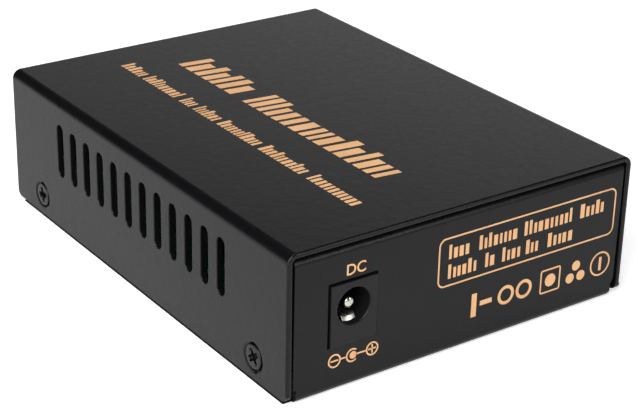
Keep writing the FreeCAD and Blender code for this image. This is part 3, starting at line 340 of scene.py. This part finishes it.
def grown(name, seeds, tree, sizes):
    """The plain mesh that a Geometry Nodes tree makes from a mesh of seed points."""
    carrier = set_in(name, seeds)
    modifier = carrier.modifiers.new(name, "NODES")
    modifier.node_group = tree
    sockets = {item.name: item.identifier for item in tree.interface.items_tree
               if item.in_out == "INPUT"}
    for word, value in sizes.items():
        modifier[sockets[word]] = value
    graph = bpy.context.evaluated_depsgraph_get()
    mesh = bpy.data.meshes.new_from_object(carrier.evaluated_get(graph))
    carrier.modifiers.remove(modifier)
    bpy.data.objects.remove(carrier)
    return mesh


# ---------------------------------------------------------------- pieces from the frame

def dressed(node, finish, edge=0.0, edge_finish=None, reshape=None):
    """A finished copy of a solid: its loose triangles joined and its edges broken by edge mm.

    reshape is a function that works the joined copy before its edges are broken.
    """
    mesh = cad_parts[node].data.copy()
    coat(mesh, finish, *([edge_finish] if edge_finish else []))
    shape = bmesh.new()
    shape.from_mesh(mesh)
    for face in shape.faces:
        face.material_index = 0
    bmesh.ops.remove_doubles(shape, verts=shape.verts, dist=0.002 * MM)
    bmesh.ops.dissolve_limit(shape, angle_limit=FLAT_ANGLE, verts=shape.verts, edges=shape.edges)
    if reshape:
        reshape(shape)
        bmesh.ops.dissolve_degenerate(shape, dist=0.001 * MM, edges=shape.edges)
    for face in shape.faces:
        face.smooth = True
    shape.to_mesh(mesh)
    shape.free()
    mesh.set_sharp_from_angle(angle=SHARP_ANGLE)
    piece = set_in(f"{node}_finished", mesh)
    if edge:
        broken = piece.modifiers.new("broken edges", "BEVEL")
        broken.width = edge * MM
        broken.segments = 2
        broken.limit_method = "ANGLE"
        broken.angle_limit = SHARP_ANGLE
        broken.miter_outer = "MITER_ARC"
    even = piece.modifiers.new("even shading", "WEIGHTED_NORMAL")
    even.keep_sharp = True
    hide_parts(node)
    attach(piece, "root")


def round_off(shape, chosen, width, segments):
    """Round the sharp edges whose ends are both chosen, by width mm, in the edge finish."""
    edges = [edge for edge in shape.edges if edge.calc_face_angle(0.0) > SHARP_ANGLE
             and all(chosen(*(value / MM for value in point.co)) for point in edge.verts)]
    bmesh.ops.bevel(shape, geom=edges, offset=width * MM, offset_type="OFFSET", profile=0.5,
                    segments=segments, affect="EDGES", clamp_overlap=False, material=1)


def work_cover(shape):
    """The roof lies an ink film below the top of the case, so that the print keeps its height.

    The coat is round over the sheet's ends and over the rims of the vents.
    """
    for point in shape.verts:
        if point.co.z > (CASE_TOP - ON_FACE) * MM:
            point.co.z -= INK_HEIGHT * MM
    vent_foot, vent_head = 11, 23
    round_off(shape, lambda x, y, z: abs(y) > CASE_END - ON_FACE, 0.34, 4)
    round_off(shape, lambda x, y, z: (abs(x) > WALL_FACE - ON_FACE and abs(y) < CASE_END - 1
                                      and vent_foot < z < vent_head), 0.14, 2)


def work_chassis(shape):
    """The jack's opening is widened, and one lower corner of each end panel is rounded.

    The jack stands on the foot of its opening, nearer to the middle of the case, which leaves a
    wide gap above it and on its outer side.  The rounded corner ends at a relief in the panel.
    """
    opening_inner, opening_outer, opening_foot, opening_head = 18.36, 27.91, 8.18, 19.61
    corner_side, corner_top, corner_cut = -33.8, 1.4, 0.9
    relief_side, relief_top = -34.0, 3.4
    for point in shape.verts:
        x, y, z = (value / MM for value in point.co)
        round_opening = y > 45.0 and 18.0 < x < 28.5 and 7.0 < z < 20.0
        at_corner = abs(y) > 45.3 and x < -33.7 and z < 2.6
        if round_opening:
            point.co.z = (opening_head if z > 19.0 else opening_foot) * MM
            point.co.x = (opening_outer if x > 23.0 else opening_inner) * MM
        if at_corner:
            if x < relief_side:
                point.co.z = relief_top * MM
            elif z < corner_top:
                down = (corner_top - z) / corner_top
                point.co.x = (corner_side + corner_cut * down ** 2) * MM
    bmesh.ops.connect_verts_nonplanar(shape, angle_limit=math.radians(0.5), faces=shape.faces)
    round_off(shape, lambda x, y, z: abs(y) > PANEL_FACE - ON_FACE, 0.12, 2)


# The cover's screws, the same on both walls: how far along, and how far the cross leans.
SCREW_PLACES = ((-36.3, math.radians(12)), (37.5, math.radians(34)))
SCREW_LEVEL = 4.85
# Radius of each ring of a screw's head, and how far it lies under the wall's face, from the
# middle to the foot of its side: a low dome, a round rim and an upright side.
HEAD_RINGS = [(0.09 * k, 0.005 + 0.006 * (0.09 * k) ** 2) for k in range(1, 18)]
HEAD_RINGS += [(1.66, 0.022), (1.84, 0.03), (1.98, 0.045), (2.08, 0.075), (2.14, 0.13),
               (2.17, 0.25), (2.19, 0.55), (2.1, 0.95)]


def cross_depth(across, up):
    """How deep the cross recess of a screw is at a spot on its head, in mm.

    It has four tapered arms and a round middle that is wider than they are.  Its walls slope,
    and its floor rises outwards.
    """
    half_arm, arm_taper, arm_reach, middle_radius = 0.52, 0.06, 1.42, 0.74
    deepest, floor_rise, wall_run = 0.92, 0.18, 0.09
    far, off = max(abs(across), abs(up)), min(abs(across), abs(up))
    in_arm = min(half_arm - arm_taper * far - off, arm_reach - far)
    inside = max(in_arm, middle_radius - math.hypot(far, off))
    return min(max(inside / wall_run + 0.5, 0.0), 1.0) * (deepest - floor_rise * far)


def head_mesh(lean):
    """One screw head on the axis of +X, as far out as the heads in the wall stand."""
    shape = bmesh.new()
    steps = 96
    rings = []
    for radius, sunk in HEAD_RINGS:
        ring_spots = []
        for turn in (math.tau * k / steps for k in range(steps)):
            deep = cross_depth(radius * math.cos(turn - lean), radius * math.sin(turn - lean))
            ring_spots.append(shape.verts.new(((WALL_FACE - sunk - deep) * MM,
                                               radius * math.cos(turn) * MM,
                                               radius * math.sin(turn) * MM)))
        rings.append(ring_spots)
    shape.faces.new(rings[0])
    shape.faces.new(rings[-1])
    for inner, outer in zip(rings, rings[1:]):
        for k in range(steps):
            shape.faces.new((inner[k - 1], outer[k - 1], outer[k], inner[k]))
    mesh = bpy.data.meshes.new("screw head")
    shape.to_mesh(mesh)
    shape.free()
    return mesh


def screw_head_tree():
    """Geometry Nodes that set a head on every seed point, mirrored on the wall of -X."""
    tree, given = grow_tree("screw heads", (("Seeds", "NodeSocketGeometry"),
                                            ("Head", "NodeSocketObject"),
                                            ("Finish", "NodeSocketMaterial")))
    side = add_node(tree, "GeometryNodeInputNamedAttribute",
                    {"data_type": "FLOAT", "Name": "side"})
    mirrored = add_node(tree, "ShaderNodeCombineXYZ", {"Y": 1.0, "Z": 1.0}, {"X": side})
    head = add_node(tree, "GeometryNodeObjectInfo", links={"Object": given["Head"]})
    stood = add_node(tree, "GeometryNodeInstanceOnPoints", links={
        "Points": given["Seeds"], "Instance": head.outputs["Geometry"], "Scale": mirrored})
    solid = add_node(tree, "GeometryNodeRealizeInstances", links={0: stood})
    finished = add_node(tree, "GeometryNodeSetMaterial", links={
        "Geometry": solid, "Material": given["Finish"]})
    add_node(tree, "NodeGroupOutput", links={0: finished})
    return tree


def domed_heads(shape):
    """The plain heads are cut off at their shanks, and domed heads with crosses are put on."""
    shank_end = 34.5
    for side in (-1, 1):
        cut = bmesh.ops.bisect_plane(
            shape, geom=shape.verts[:] + shape.edges[:] + shape.faces[:], clear_outer=True,
            plane_co=(side * shank_end * MM, 0, 0), plane_no=(side, 0, 0))["geom_cut"]
        rim = [part for part in cut if isinstance(part, bmesh.types.BMEdge)]
        bmesh.ops.triangle_fill(shape, use_beauty=True, edges=rim, normal=(side, 0, 0))
    tree = screw_head_tree()
    for along, lean in SCREW_PLACES:
        seeds = seed_points("screw seeds", [(0, along, SCREW_LEVEL)] * 2, {"side": (-1, 1)})
        head = set_in("screw head", head_mesh(lean))
        shape.from_mesh(grown("screw heads", seeds, tree, {"Head": head, "Finish": BLACK_SCREW}))
        bpy.data.objects.remove(head)
    bmesh.ops.recalc_face_normals(shape, faces=shape.faces)


def stretch_pin(shape):
    """The pin comes further forward and ends blunt, with a round rim."""
    old_tip, new_tip, bluntness = 44.3, 45.4, 0.5
    for point in shape.verts:
        if point.co.y > (old_tip - 0.1) * MM:
            point.co.y = (new_tip + (point.co.y / MM - old_tip) * bluntness) * MM


def curl_spring(shape):
    """The spring as a dished strip that rises behind the bore and curls down at its front."""
    bmesh.ops.delete(shape, geom=shape.verts[:], context="VERTS")
    # Its line in the plane along the jack, in mm: the foot, the rise, the curl and the tip.
    curl_along, curl_up, curl_radius = 44.4, 11.42, 1.1
    curl = [(curl_along + curl_radius * math.cos(math.radians(turn)),
             curl_up + curl_radius * math.sin(math.radians(turn))) for turn in range(112, 34, -8)]
    path = [Vector(point) for point in [(38.85, 5.7), (38.85, 9.9), (40.3, 11.2), (42.2, 12.3)]
            + curl + [(45.45, 11.79), (45.65, 11.45), (45.75, 11.29)]]
    # Its section: places across the jack, and how far each is dished.  The strip's upper face
    # lies over_line above the line.
    thickness, over_line = 0.25, 0.12
    across = [(21.72, 0.0), (22.1, -0.07), (23.0, -0.15), (23.9, -0.07), (24.28, 0.0)]
    across += [(x, sunk - thickness) for x, sunk in across[::-1]]
    sections = []
    for k, point in enumerate(path):
        run = path[min(k + 1, len(path) - 1)] - path[max(k - 1, 0)]
        out = Vector((-run.y, run.x)).normalized()
        spots = [(x, point + out * (sunk + over_line)) for x, sunk in across]
        sections.append([shape.verts.new((x * MM, spot.x * MM, spot.y * MM)) for x, spot in spots])
    for low, high in zip(sections, sections[1:]):
        for k in range(len(across)):
            shape.faces.new((low[k - 1], low[k], high[k], high[k - 1]))
    shape.faces.new(sections[0])
    shape.faces.new(sections[-1][::-1])
    bmesh.ops.recalc_face_normals(shape, faces=shape.faces)


dressed("top_cover", PAINT, edge_finish=PAINT_EDGE, reshape=work_cover)
dressed("base_chassis", PAINT, edge_finish=PAINT_EDGE, reshape=work_chassis)
dressed("cover_screws", BLACK_SCREW, reshape=domed_heads)
dressed("dc_jack_housing", MOULDED, 0.14)
dressed("dc_jack_centre_pin", JACK_PIN, 0.12, reshape=stretch_pin)
dressed("dc_jack_spring_contact", SPRING, 0.05, reshape=curl_spring)
dressed("rj45_housing", MOULDED, 0.07)
dressed("heatsink", SINK, 0.1)
dressed("power_inductors", FERRITE, 0.2)
dressed("capacitor_bases", MOULDED, 0.12)
dressed("capacitor_cans", CAN, 0.35)

# Solids that are shown as they are, each with its finish and its slot.
CARRIED = {
    "board_standoffs": ("plated_steel", NICKEL),
    "board_screws": ("plated_steel", NICKEL),
    "main_board": ("circuit_board", BOARD),
    "dc_jack_switch_contact": ("spring_metal", SPRING),
    "rj45_shield": ("plated_steel", TIN),
    "rj45_contacts": ("gold_contact", GOLD),
    "rj45_link_window": ("link_window", LINK_WINDOW),
    "rj45_activity_window": ("activity_window", ACTIVITY_WINDOW),
    "sfp_cage": ("plated_steel", TIN),
    "sfp_spring_collar": ("spring_metal", SPRING),
    "sfp_connector": ("black_moulding", MOULDED),
    "sfp_connector_contacts": ("gold_contact", GOLD),
    "light_guide": ("light_guide", GUIDE),
    "indicator_leds": ("lamp", LAMP),
    "phy_chip": ("chip_moulding", CHIP),
    "thermal_pad": ("gap_pad", PAD),
    "bridge_chip": ("chip_moulding", CHIP),
    "flash_memory": ("chip_moulding", CHIP),
    "regulator_chips": ("chip_moulding", CHIP),
    "chip_leads": ("plated_steel", TIN),
    "clock_crystal": ("plated_steel", NICKEL),
    "ceramic_capacitors": ("capacitor_ceramic", CERAMIC),
}
for node, (slot, finish) in CARRIED.items():
    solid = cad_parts[node]
    coat(solid.data, finish)


# ---------------------------------------------------------------- print

# Each place is a flat sheet: across, up and out of the surface, from a point on the surface.
ROOF = Matrix(((0, -1, 0, 0),
               (1, 0, 0, 0),
               (0, 0, 1, (CASE_TOP - INK_HEIGHT) * MM),
               (0, 0, 0, 1)))
REAR = Matrix(((-1, 0, 0, 0),
               (0, 0, 1, PANEL_FACE * MM),
               (0, 1, 0, 0),
               (0, 0, 0, 1)))


def arc(across, up, radius, start=0.0, sweep=360.0, steps=48):
    """Points on an arc, in mm, counter-clockwise from start degrees."""
    last = steps if sweep == 360.0 else steps - 1
    return [(across + radius * math.cos(math.radians(start + sweep * k / last)),
             up + radius * math.sin(math.radians(start + sweep * k / last)))
            for k in range(steps)]


def rounded(across, up, width, height, corner, steps=8):
    """Points round a rectangle with round corners, in mm."""
    points = []
    for side, rise, start in ((1, 1, 0), (-1, 1, 90), (-1, -1, 180), (1, -1, 270)):
        points += arc(across + side * (width / 2 - corner), up + rise * (height / 2 - corner),
                      corner, start, 90.0, steps)
    return points


def plate(shape, points):
    """A filled outline as a film of ink that starts just under the surface."""
    low, high = ([shape.verts.new((x * MM, y * MM, z * MM)) for x, y in points]
                 for z in (-INK_HEIGHT, INK_HEIGHT))
    shape.faces.new(high)
    shape.faces.new(low[::-1])
    for k in range(len(points)):
        shape.faces.new((low[k - 1], low[k], high[k], high[k - 1]))


def line(shape, outer, inner, closed=True):
    """A drawn line as a film of ink between two outlines of as many points."""
    levels = [[[shape.verts.new((x * MM, y * MM, z * MM)) for x, y in points]
               for points in (outer, inner)] for z in (-INK_HEIGHT, INK_HEIGHT)]
    (low_out, low_in), (high_out, high_in) = levels
    for k in range(0 if closed else 1, len(outer)):
        shape.faces.new((high_out[k - 1], high_out[k], high_in[k], high_in[k - 1]))
        shape.faces.new((low_out[k], low_out[k - 1], low_in[k - 1], low_in[k]))
        shape.faces.new((low_out[k - 1], low_out[k], high_out[k], high_out[k - 1]))
        shape.faces.new((low_in[k], low_in[k - 1], high_in[k - 1], high_in[k]))
    if not closed:
        for k in (0, -1):
            shape.faces.new((low_out[k], high_out[k], high_in[k], low_in[k]))


def ring(shape, across, up, radius, width, start=0.0, sweep=360.0):
    """A round line as wide as width, or a part of one."""
    outer, inner = (arc(across, up, size, start, sweep) for size in (radius, radius - width))
    line(shape, outer, inner, sweep == 360.0)


def bar(shape, across, up, width, height):
    """A filled rectangle round a middle."""
    plate(shape, [(across + side * width / 2, up + rise * height / 2)
                  for side, rise in ((-1, -1), (1, -1), (1, 1), (-1, 1))])


def print_piece(name, mesh, place):
    """A piece of print, laid on its place."""
    mesh.transform(place)
    coat(mesh, INK)
    piece = set_in(name, mesh)
    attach(piece, "root")


def drawn(name, place, draw):
    """A piece of print made by a drawing function."""
    shape = bmesh.new()
    draw(shape)
    bmesh.ops.recalc_face_normals(shape, faces=shape.faces)
    mesh = bpy.data.meshes.new(name)
    shape.to_mesh(mesh)
    shape.free()
    print_piece(name, mesh, place)


def ink_bar_tree():
    """Geometry Nodes that set a leaning bar of ink on every seed point."""
    tree, given = grow_tree("ink bars", (("Seeds", "NodeSocketGeometry"),
                                         ("Film", "NodeSocketFloat"),
                                         ("Lean", "NodeSocketFloat"),
                                         ("Finish", "NodeSocketMaterial")))
    width, height = (add_node(tree, "GeometryNodeInputNamedAttribute",
                              {"data_type": "FLOAT", "Name": word})
                     for word in ("bar_width", "bar_height"))
    film = add_node(tree, "ShaderNodeMath", {"operation": "MULTIPLY", 1: 2.0}, {0: given["Film"]})
    size = add_node(tree, "ShaderNodeCombineXYZ", links={0: width, 1: height, 2: film})
    block = add_node(tree, "GeometryNodeMeshCube", {"Size": (1, 1, 1)})
    footed = add_node(tree, "GeometryNodeTransform", {"Translation": (0, 0.5, 0)},
                      {"Geometry": block})
    stood = add_node(tree, "GeometryNodeInstanceOnPoints", links={
        "Points": given["Seeds"], "Instance": footed, "Scale": size})
    solid = add_node(tree, "GeometryNodeRealizeInstances", links={0: stood})
    spot = add_node(tree, "ShaderNodeSeparateXYZ", links={
        0: add_node(tree, "GeometryNodeInputPosition")})
    push = add_node(tree, "ShaderNodeMath", {"operation": "MULTIPLY"},
                    {0: spot.outputs["Y"], 1: given["Lean"]})
    shift = add_node(tree, "ShaderNodeCombineXYZ", links={"X": push})
    leaned = add_node(tree, "GeometryNodeSetPosition", links={"Geometry": solid, "Offset": shift})
    inked = add_node(tree, "GeometryNodeSetMaterial", links={
        "Geometry": leaned, "Material": given["Finish"]})
    add_node(tree, "NodeGroupOutput", links={0: inked})
    return tree


INK_BARS = ink_bar_tree()


def bars_on(name, place, bars, foot, lean=0.0):
    """A row of ink bars, each (middle, width, height) in mm, standing on a foot line."""
    middles, widths, heights = zip(*bars)
    seeds = seed_points(name, [(middle, 0, 0) for middle in middles], {
        "bar_width": [width * MM for width in widths],
        "bar_height": [height * MM for height in heights]})
    mesh = grown(name, seeds, INK_BARS, {"Film": INK_HEIGHT * MM, "Lean": lean, "Finish": INK})
    print_piece(name, mesh, place @ Matrix.Translation((0, foot * MM, 0)))


def words(start, lengths, gap, wide, apart, heights, seed):
    """Bars that stand for words: a word's first bar is tall, the others mostly low.

    lengths are the words' own, gap lies between two words, and wide and apart are the ranges of
    a bar's width and of the space after it.  All of them are in mm.
    """
    chance = random.Random(seed)
    bars, along = [], start
    for length in lengths:
        end, first = along + length, True
        while along < end - wide[0]:
            width = min(chance.uniform(*wide), end - along)
            tall = first or chance.random() < 0.2
            bars.append((along + width / 2, width, heights[0] if tall else heights[1]))
            along += width + chance.uniform(*apart)
            first = False
        along = end + gap
    return bars


# Generic rows of bars where the roof carries its heading and the line under it.
bars_on("roof_heading_print", ROOF,
        words(start=-33.0, lengths=(19.8, 42.6), gap=3.0, wide=(1.1, 2.3), apart=(0.75, 1.05),
              heights=(6.9, 5.2), seed=11), foot=-7.4, lean=0.12)
bars_on("roof_line_print", ROOF,
        words(start=-37.9, lengths=(6.8, 11.9, 3.4, 6.8, 12.0, 13.3, 13.0), gap=1.4,
              wide=(0.45, 0.95), apart=(0.35, 0.5), heights=(2.9, 2.2), seed=5), foot=-17.2)


def power_symbols(shape):
    """Sign that the centre of the plug is positive: minus ring, cup with a dot, plus ring."""
    level, thin, radius = 5.7, 0.28, 1.25
    minus, cup, dot, plus = -26.5, -23.0, -22.85, -19.05
    ring(shape, minus, level, radius, thin)
    bar(shape, minus, level, 1.5, thin)
    ring(shape, cup, level, radius, thin, 48.0, 264.0)
    plate(shape, arc(dot, level, 0.68, steps=24))
    ring(shape, plus, level, radius, thin)
    bar(shape, plus, level, 1.6, thin)
    bar(shape, plus, level, thin, 1.6)
    # The lines that join the minus to the cup and the dot to the plus.
    bar(shape, -24.75, level, 0.9, thin)
    bar(shape, -21.3, level, 2.1, thin)


def notice_frame(shape):
    """A round-cornered frame round the words on the rear."""
    across, up, width, height, corner, thick = 13.45, 17.12, 39.2, 9.0, 1.4, 0.3
    line(shape, rounded(across, up, width, height, corner),
         rounded(across, up, width - 2 * thick, height - 2 * thick, corner - thick))


def rear_marks(shape):
    """Plain shapes in a row: two blocks, two rings, a framed dot, three dots and a ring."""
    level, frame_middle = 7.4, 19.0
    dots_across, dots_up = 24.9, 7.1
    last_across, last_up = 30.65, 7.35
    bar(shape, 2.0, level, 1.1, 4.4)
    bar(shape, 4.6, level, 2.6, 0.9)
    for across in (9.0, 13.0):
        ring(shape, across, level, 1.8, 0.6)
    line(shape, rounded(frame_middle, level, 4.6, 4.6, 0.5),
         rounded(frame_middle, level, 4.0, 4.0, 0.25))
    plate(shape, arc(frame_middle, level, 1.2, steps=24))
    for turn in (90, 210, 330):
        middle = arc(dots_across, dots_up, 1.45, turn, 0.0, 2)[0]
        plate(shape, arc(*middle, 0.95, steps=20))
    ring(shape, last_across, last_up, 2.35, 0.33)
    bar(shape, last_across, last_up, 0.6, 2.6)


drawn("power_symbol_print", REAR, power_symbols)
drawn("notice_frame_print", REAR, notice_frame)
drawn("rear_mark_print", REAR, rear_marks)
for name, lengths, gap, seed, foot in (
        ("notice_upper_print", (5.0, 8.4, 11.2, 5.7), 1.4, 21, 17.6),
        ("notice_lower_print", (6.6, 2.4, 3.9, 3.6, 6.4), 1.3, 8, 14.0)):
    bars_on(name, REAR,
            words(start=-4.0, lengths=lengths, gap=gap, wide=(0.5, 0.95), apart=(0.35, 0.5),
                  heights=(2.6, 1.9), seed=seed), foot)


def jack_letters():
    """The letters DC over the power jack, in a plain upright sans."""
    curve = bpy.data.curves.new("jack letters", "FONT")
    curve.body = "DC"
    curve.resolution_u = 6
    curve.offset = 0.012
    curve.extrude = 0.01
    carrier = set_in("jack letters", curve)
    graph = bpy.context.evaluated_depsgraph_get()
    mesh = bpy.data.meshes.new_from_object(carrier.evaluated_get(graph))
    bpy.data.objects.remove(carrier)
    low = [min(point.co[axis] for point in mesh.vertices) for axis in range(3)]
    high = [max(point.co[axis] for point in mesh.vertices) for axis in range(3)]
    # From where to where the letters lie: across the panel, up it, and out of it.
    wanted = ((-24.55, -20.85), (20.3, 22.25), (-INK_HEIGHT, INK_HEIGHT))
    for point in mesh.vertices:
        for axis, (start, end) in enumerate(wanted):
            share = (point.co[axis] - low[axis]) / (high[axis] - low[axis])
            point.co[axis] = (start + share * (end - start)) * MM
    print_piece("jack_letter_print", mesh, REAR)


jack_letters()


# ---------------------------------------------------------------- floor, light and camera

def floor_finish():
    """A plain white floor that keeps the shadow and shows white where nothing shades it.

    It is painted dark under the case as shade, with no white lift there, so that the slit under
    the cover's walls shows as a dark line.
    """
    material, tree, place = new_finish("white_studio_floor")
    spot = add_node(tree, "ShaderNodeSeparateXYZ", links={0: place}).outputs
    # Along each axis, the middle of the painted shadow under the case and how far it reaches from
    # there, in mm.
    inside = [add_node(tree, "ShaderNodeMath",
                       {"operation": "COMPARE", 1: middle * MM, 2: reach * MM}, {0: spot[axis]})
              for axis, middle, reach in (("X", 0.95, 34.5), ("Y", 0.0, 45.5))]
    under = add_node(tree, "ShaderNodeMath", {"operation": "MULTIPLY"},
                     {0: inside[0], 1: inside[1]})
    open_floor = add_node(tree, "ShaderNodeMath", {"operation": "SUBTRACT", 0: 1.0}, {1: under})
    # Under the case the floor's colour is painted near black, as shade.
    shader = add_node(tree, "ShaderNodeBsdfPrincipled", {"Roughness": 0.9}, {
        "Base Color": add_node(tree, "ShaderNodeMix",
                               {"data_type": "RGBA", COLOUR_A: linear("#0c0c0c"),
                                COLOUR_B: linear("#f2f2f2")},
                               {0: open_floor}).outputs[COLOUR_OUT]})
    path = add_node(tree, "ShaderNodeLightPath").outputs
    mirrored = add_node(tree, "ShaderNodeMath", {"operation": "MAXIMUM"},
                        {0: path["Is Glossy Ray"], 1: path["Is Transmission Ray"]})
    seen = add_node(tree, "ShaderNodeMath", {"operation": "MULTIPLY", 1: 0.45},
                    {0: path["Is Camera Ray"]})
    lift = add_node(tree, "ShaderNodeMath", {"operation": "MULTIPLY_ADD", 1: 0.15},
                    {0: mirrored, 2: seen})
    # The white lift is taken away under the case too, so that the painted shade stays dark.
    open_lift = add_node(tree, "ShaderNodeMath", {"operation": "MULTIPLY"},
                         {0: lift, 1: open_floor})
    glow = add_node(tree, "ShaderNodeEmission", {"Color": (1, 1, 1, 1)}, {"Strength": open_lift})
    both = add_node(tree, "ShaderNodeAddShader", links={0: shader, 1: glow})
    add_node(tree, "ShaderNodeOutputMaterial", links={"Surface": both})
    return material


floor_mesh = bpy.data.meshes.new("floor")
floor_mesh.from_pydata([(-4, -4, 0), (4, -4, 0), (4, 4, 0), (-4, 4, 0)], [], [(0, 1, 2, 3)])
coat(floor_mesh, floor_finish())
floor = set_in("floor", floor_mesh)


def soft_lamp(name, place, aim, size, power):
    """A soft box that looks from its place at its aim."""
    data = bpy.data.lights.new(name, "AREA")
    data.shape = "RECTANGLE"
    data.size, data.size_y = size
    data.energy = power
    lamp = set_in(name, data)
    lamp.location = place
    lamp.rotation_euler = (Vector(aim) - Vector(place)).to_track_quat("-Z", "Y").to_euler()


soft_lamp("overhead_softbox", (0.05, -0.10, 0.55), (0, 0, 0), (0.26, 0.26), 0.71)
soft_lamp("wall_softbox", (0.75, 0.20, 0.42), (0, 0, 0.01), (0.75, 0.75), 7.9)
soft_lamp("rear_softbox", (0.55, 0.85, 0.50), (0, 0, 0.01), (0.5, 0.4), 4.3)
soft_lamp("near_softbox", (0.27, 0.27, 0.42), (0.05, 0.02, 0), (0.2, 0.2), 1.05)
soft_lamp("low_rear_softbox", (-0.39, 0.68, 0.33), (0, 0.02, 0.01), (0.14, 0.40), 1.1)


def studio_world():
    """A dark room with one white backdrop, low behind the object's far corner.

    The camera sees plain white all round.
    """
    world = bpy.data.worlds.new("studio")
    world.use_nodes = True
    scene.world = world
    tree = world.node_tree
    tree.nodes.clear()
    way = add_node(tree, "ShaderNodeTexCoord").outputs["Generated"]
    rise = add_node(tree, "ShaderNodeSeparateXYZ", links={0: way}).outputs["Z"]
    # The backdrop stands this way, and fades out over its top and towards both its sides.
    far_corner = (-0.94, -0.34, 0.0)
    towards = add_node(tree, "ShaderNodeVectorMath", {"operation": "DOT_PRODUCT", 1: far_corner},
                       {0: way}).outputs["Value"]
    low = add_node(tree, "ShaderNodeMapRange", {
        "interpolation_type": "SMOOTHSTEP", "From Min": 0.36, "From Max": 0.50, "To Min": 1.0,
        "To Max": 0.0}, {"Value": rise})
    wide = add_node(tree, "ShaderNodeMapRange", {
        "From Min": 0.35, "From Max": 0.95, "To Min": 0.0, "To Max": 1.0}, {"Value": towards})
    sheet = add_node(tree, "ShaderNodeMath", {"operation": "MULTIPLY"}, {0: low, 1: wide})
    colour = add_node(tree, "ShaderNodeMix", {
        "data_type": "RGBA", COLOUR_A: linear("#181818"), COLOUR_B: linear("#ffffff")},
        {0: sheet}).outputs[COLOUR_OUT]
    room = add_node(tree, "ShaderNodeBackground", {"Strength": 1.0}, {"Color": colour})
    white = add_node(tree, "ShaderNodeBackground", {"Color": (1, 1, 1, 1), "Strength": 1.0})
    path = add_node(tree, "ShaderNodeLightPath").outputs
    both = add_node(tree, "ShaderNodeMixShader", links={
        0: path["Is Camera Ray"], 1: room, 2: white})
    add_node(tree, "ShaderNodeOutputWorld", links={0: both})


studio_world()

# A long lens that looks down at the rear from above the jack's side.
camera_data = bpy.data.cameras.new("camera")
camera_data.sensor_width = 36.0
camera_data.lens = 97.82
camera_data.clip_start = 0.01
camera_data.clip_end = 50.0
camera = set_in("camera", camera_data)
camera.location = (0.168107, 0.240195, 0.144655)
camera.rotation_euler = [math.radians(turn) for turn in (64.9738, -1.1695, 145.0103)]
scene.camera = camera
scene.view_settings.view_transform = "Standard"
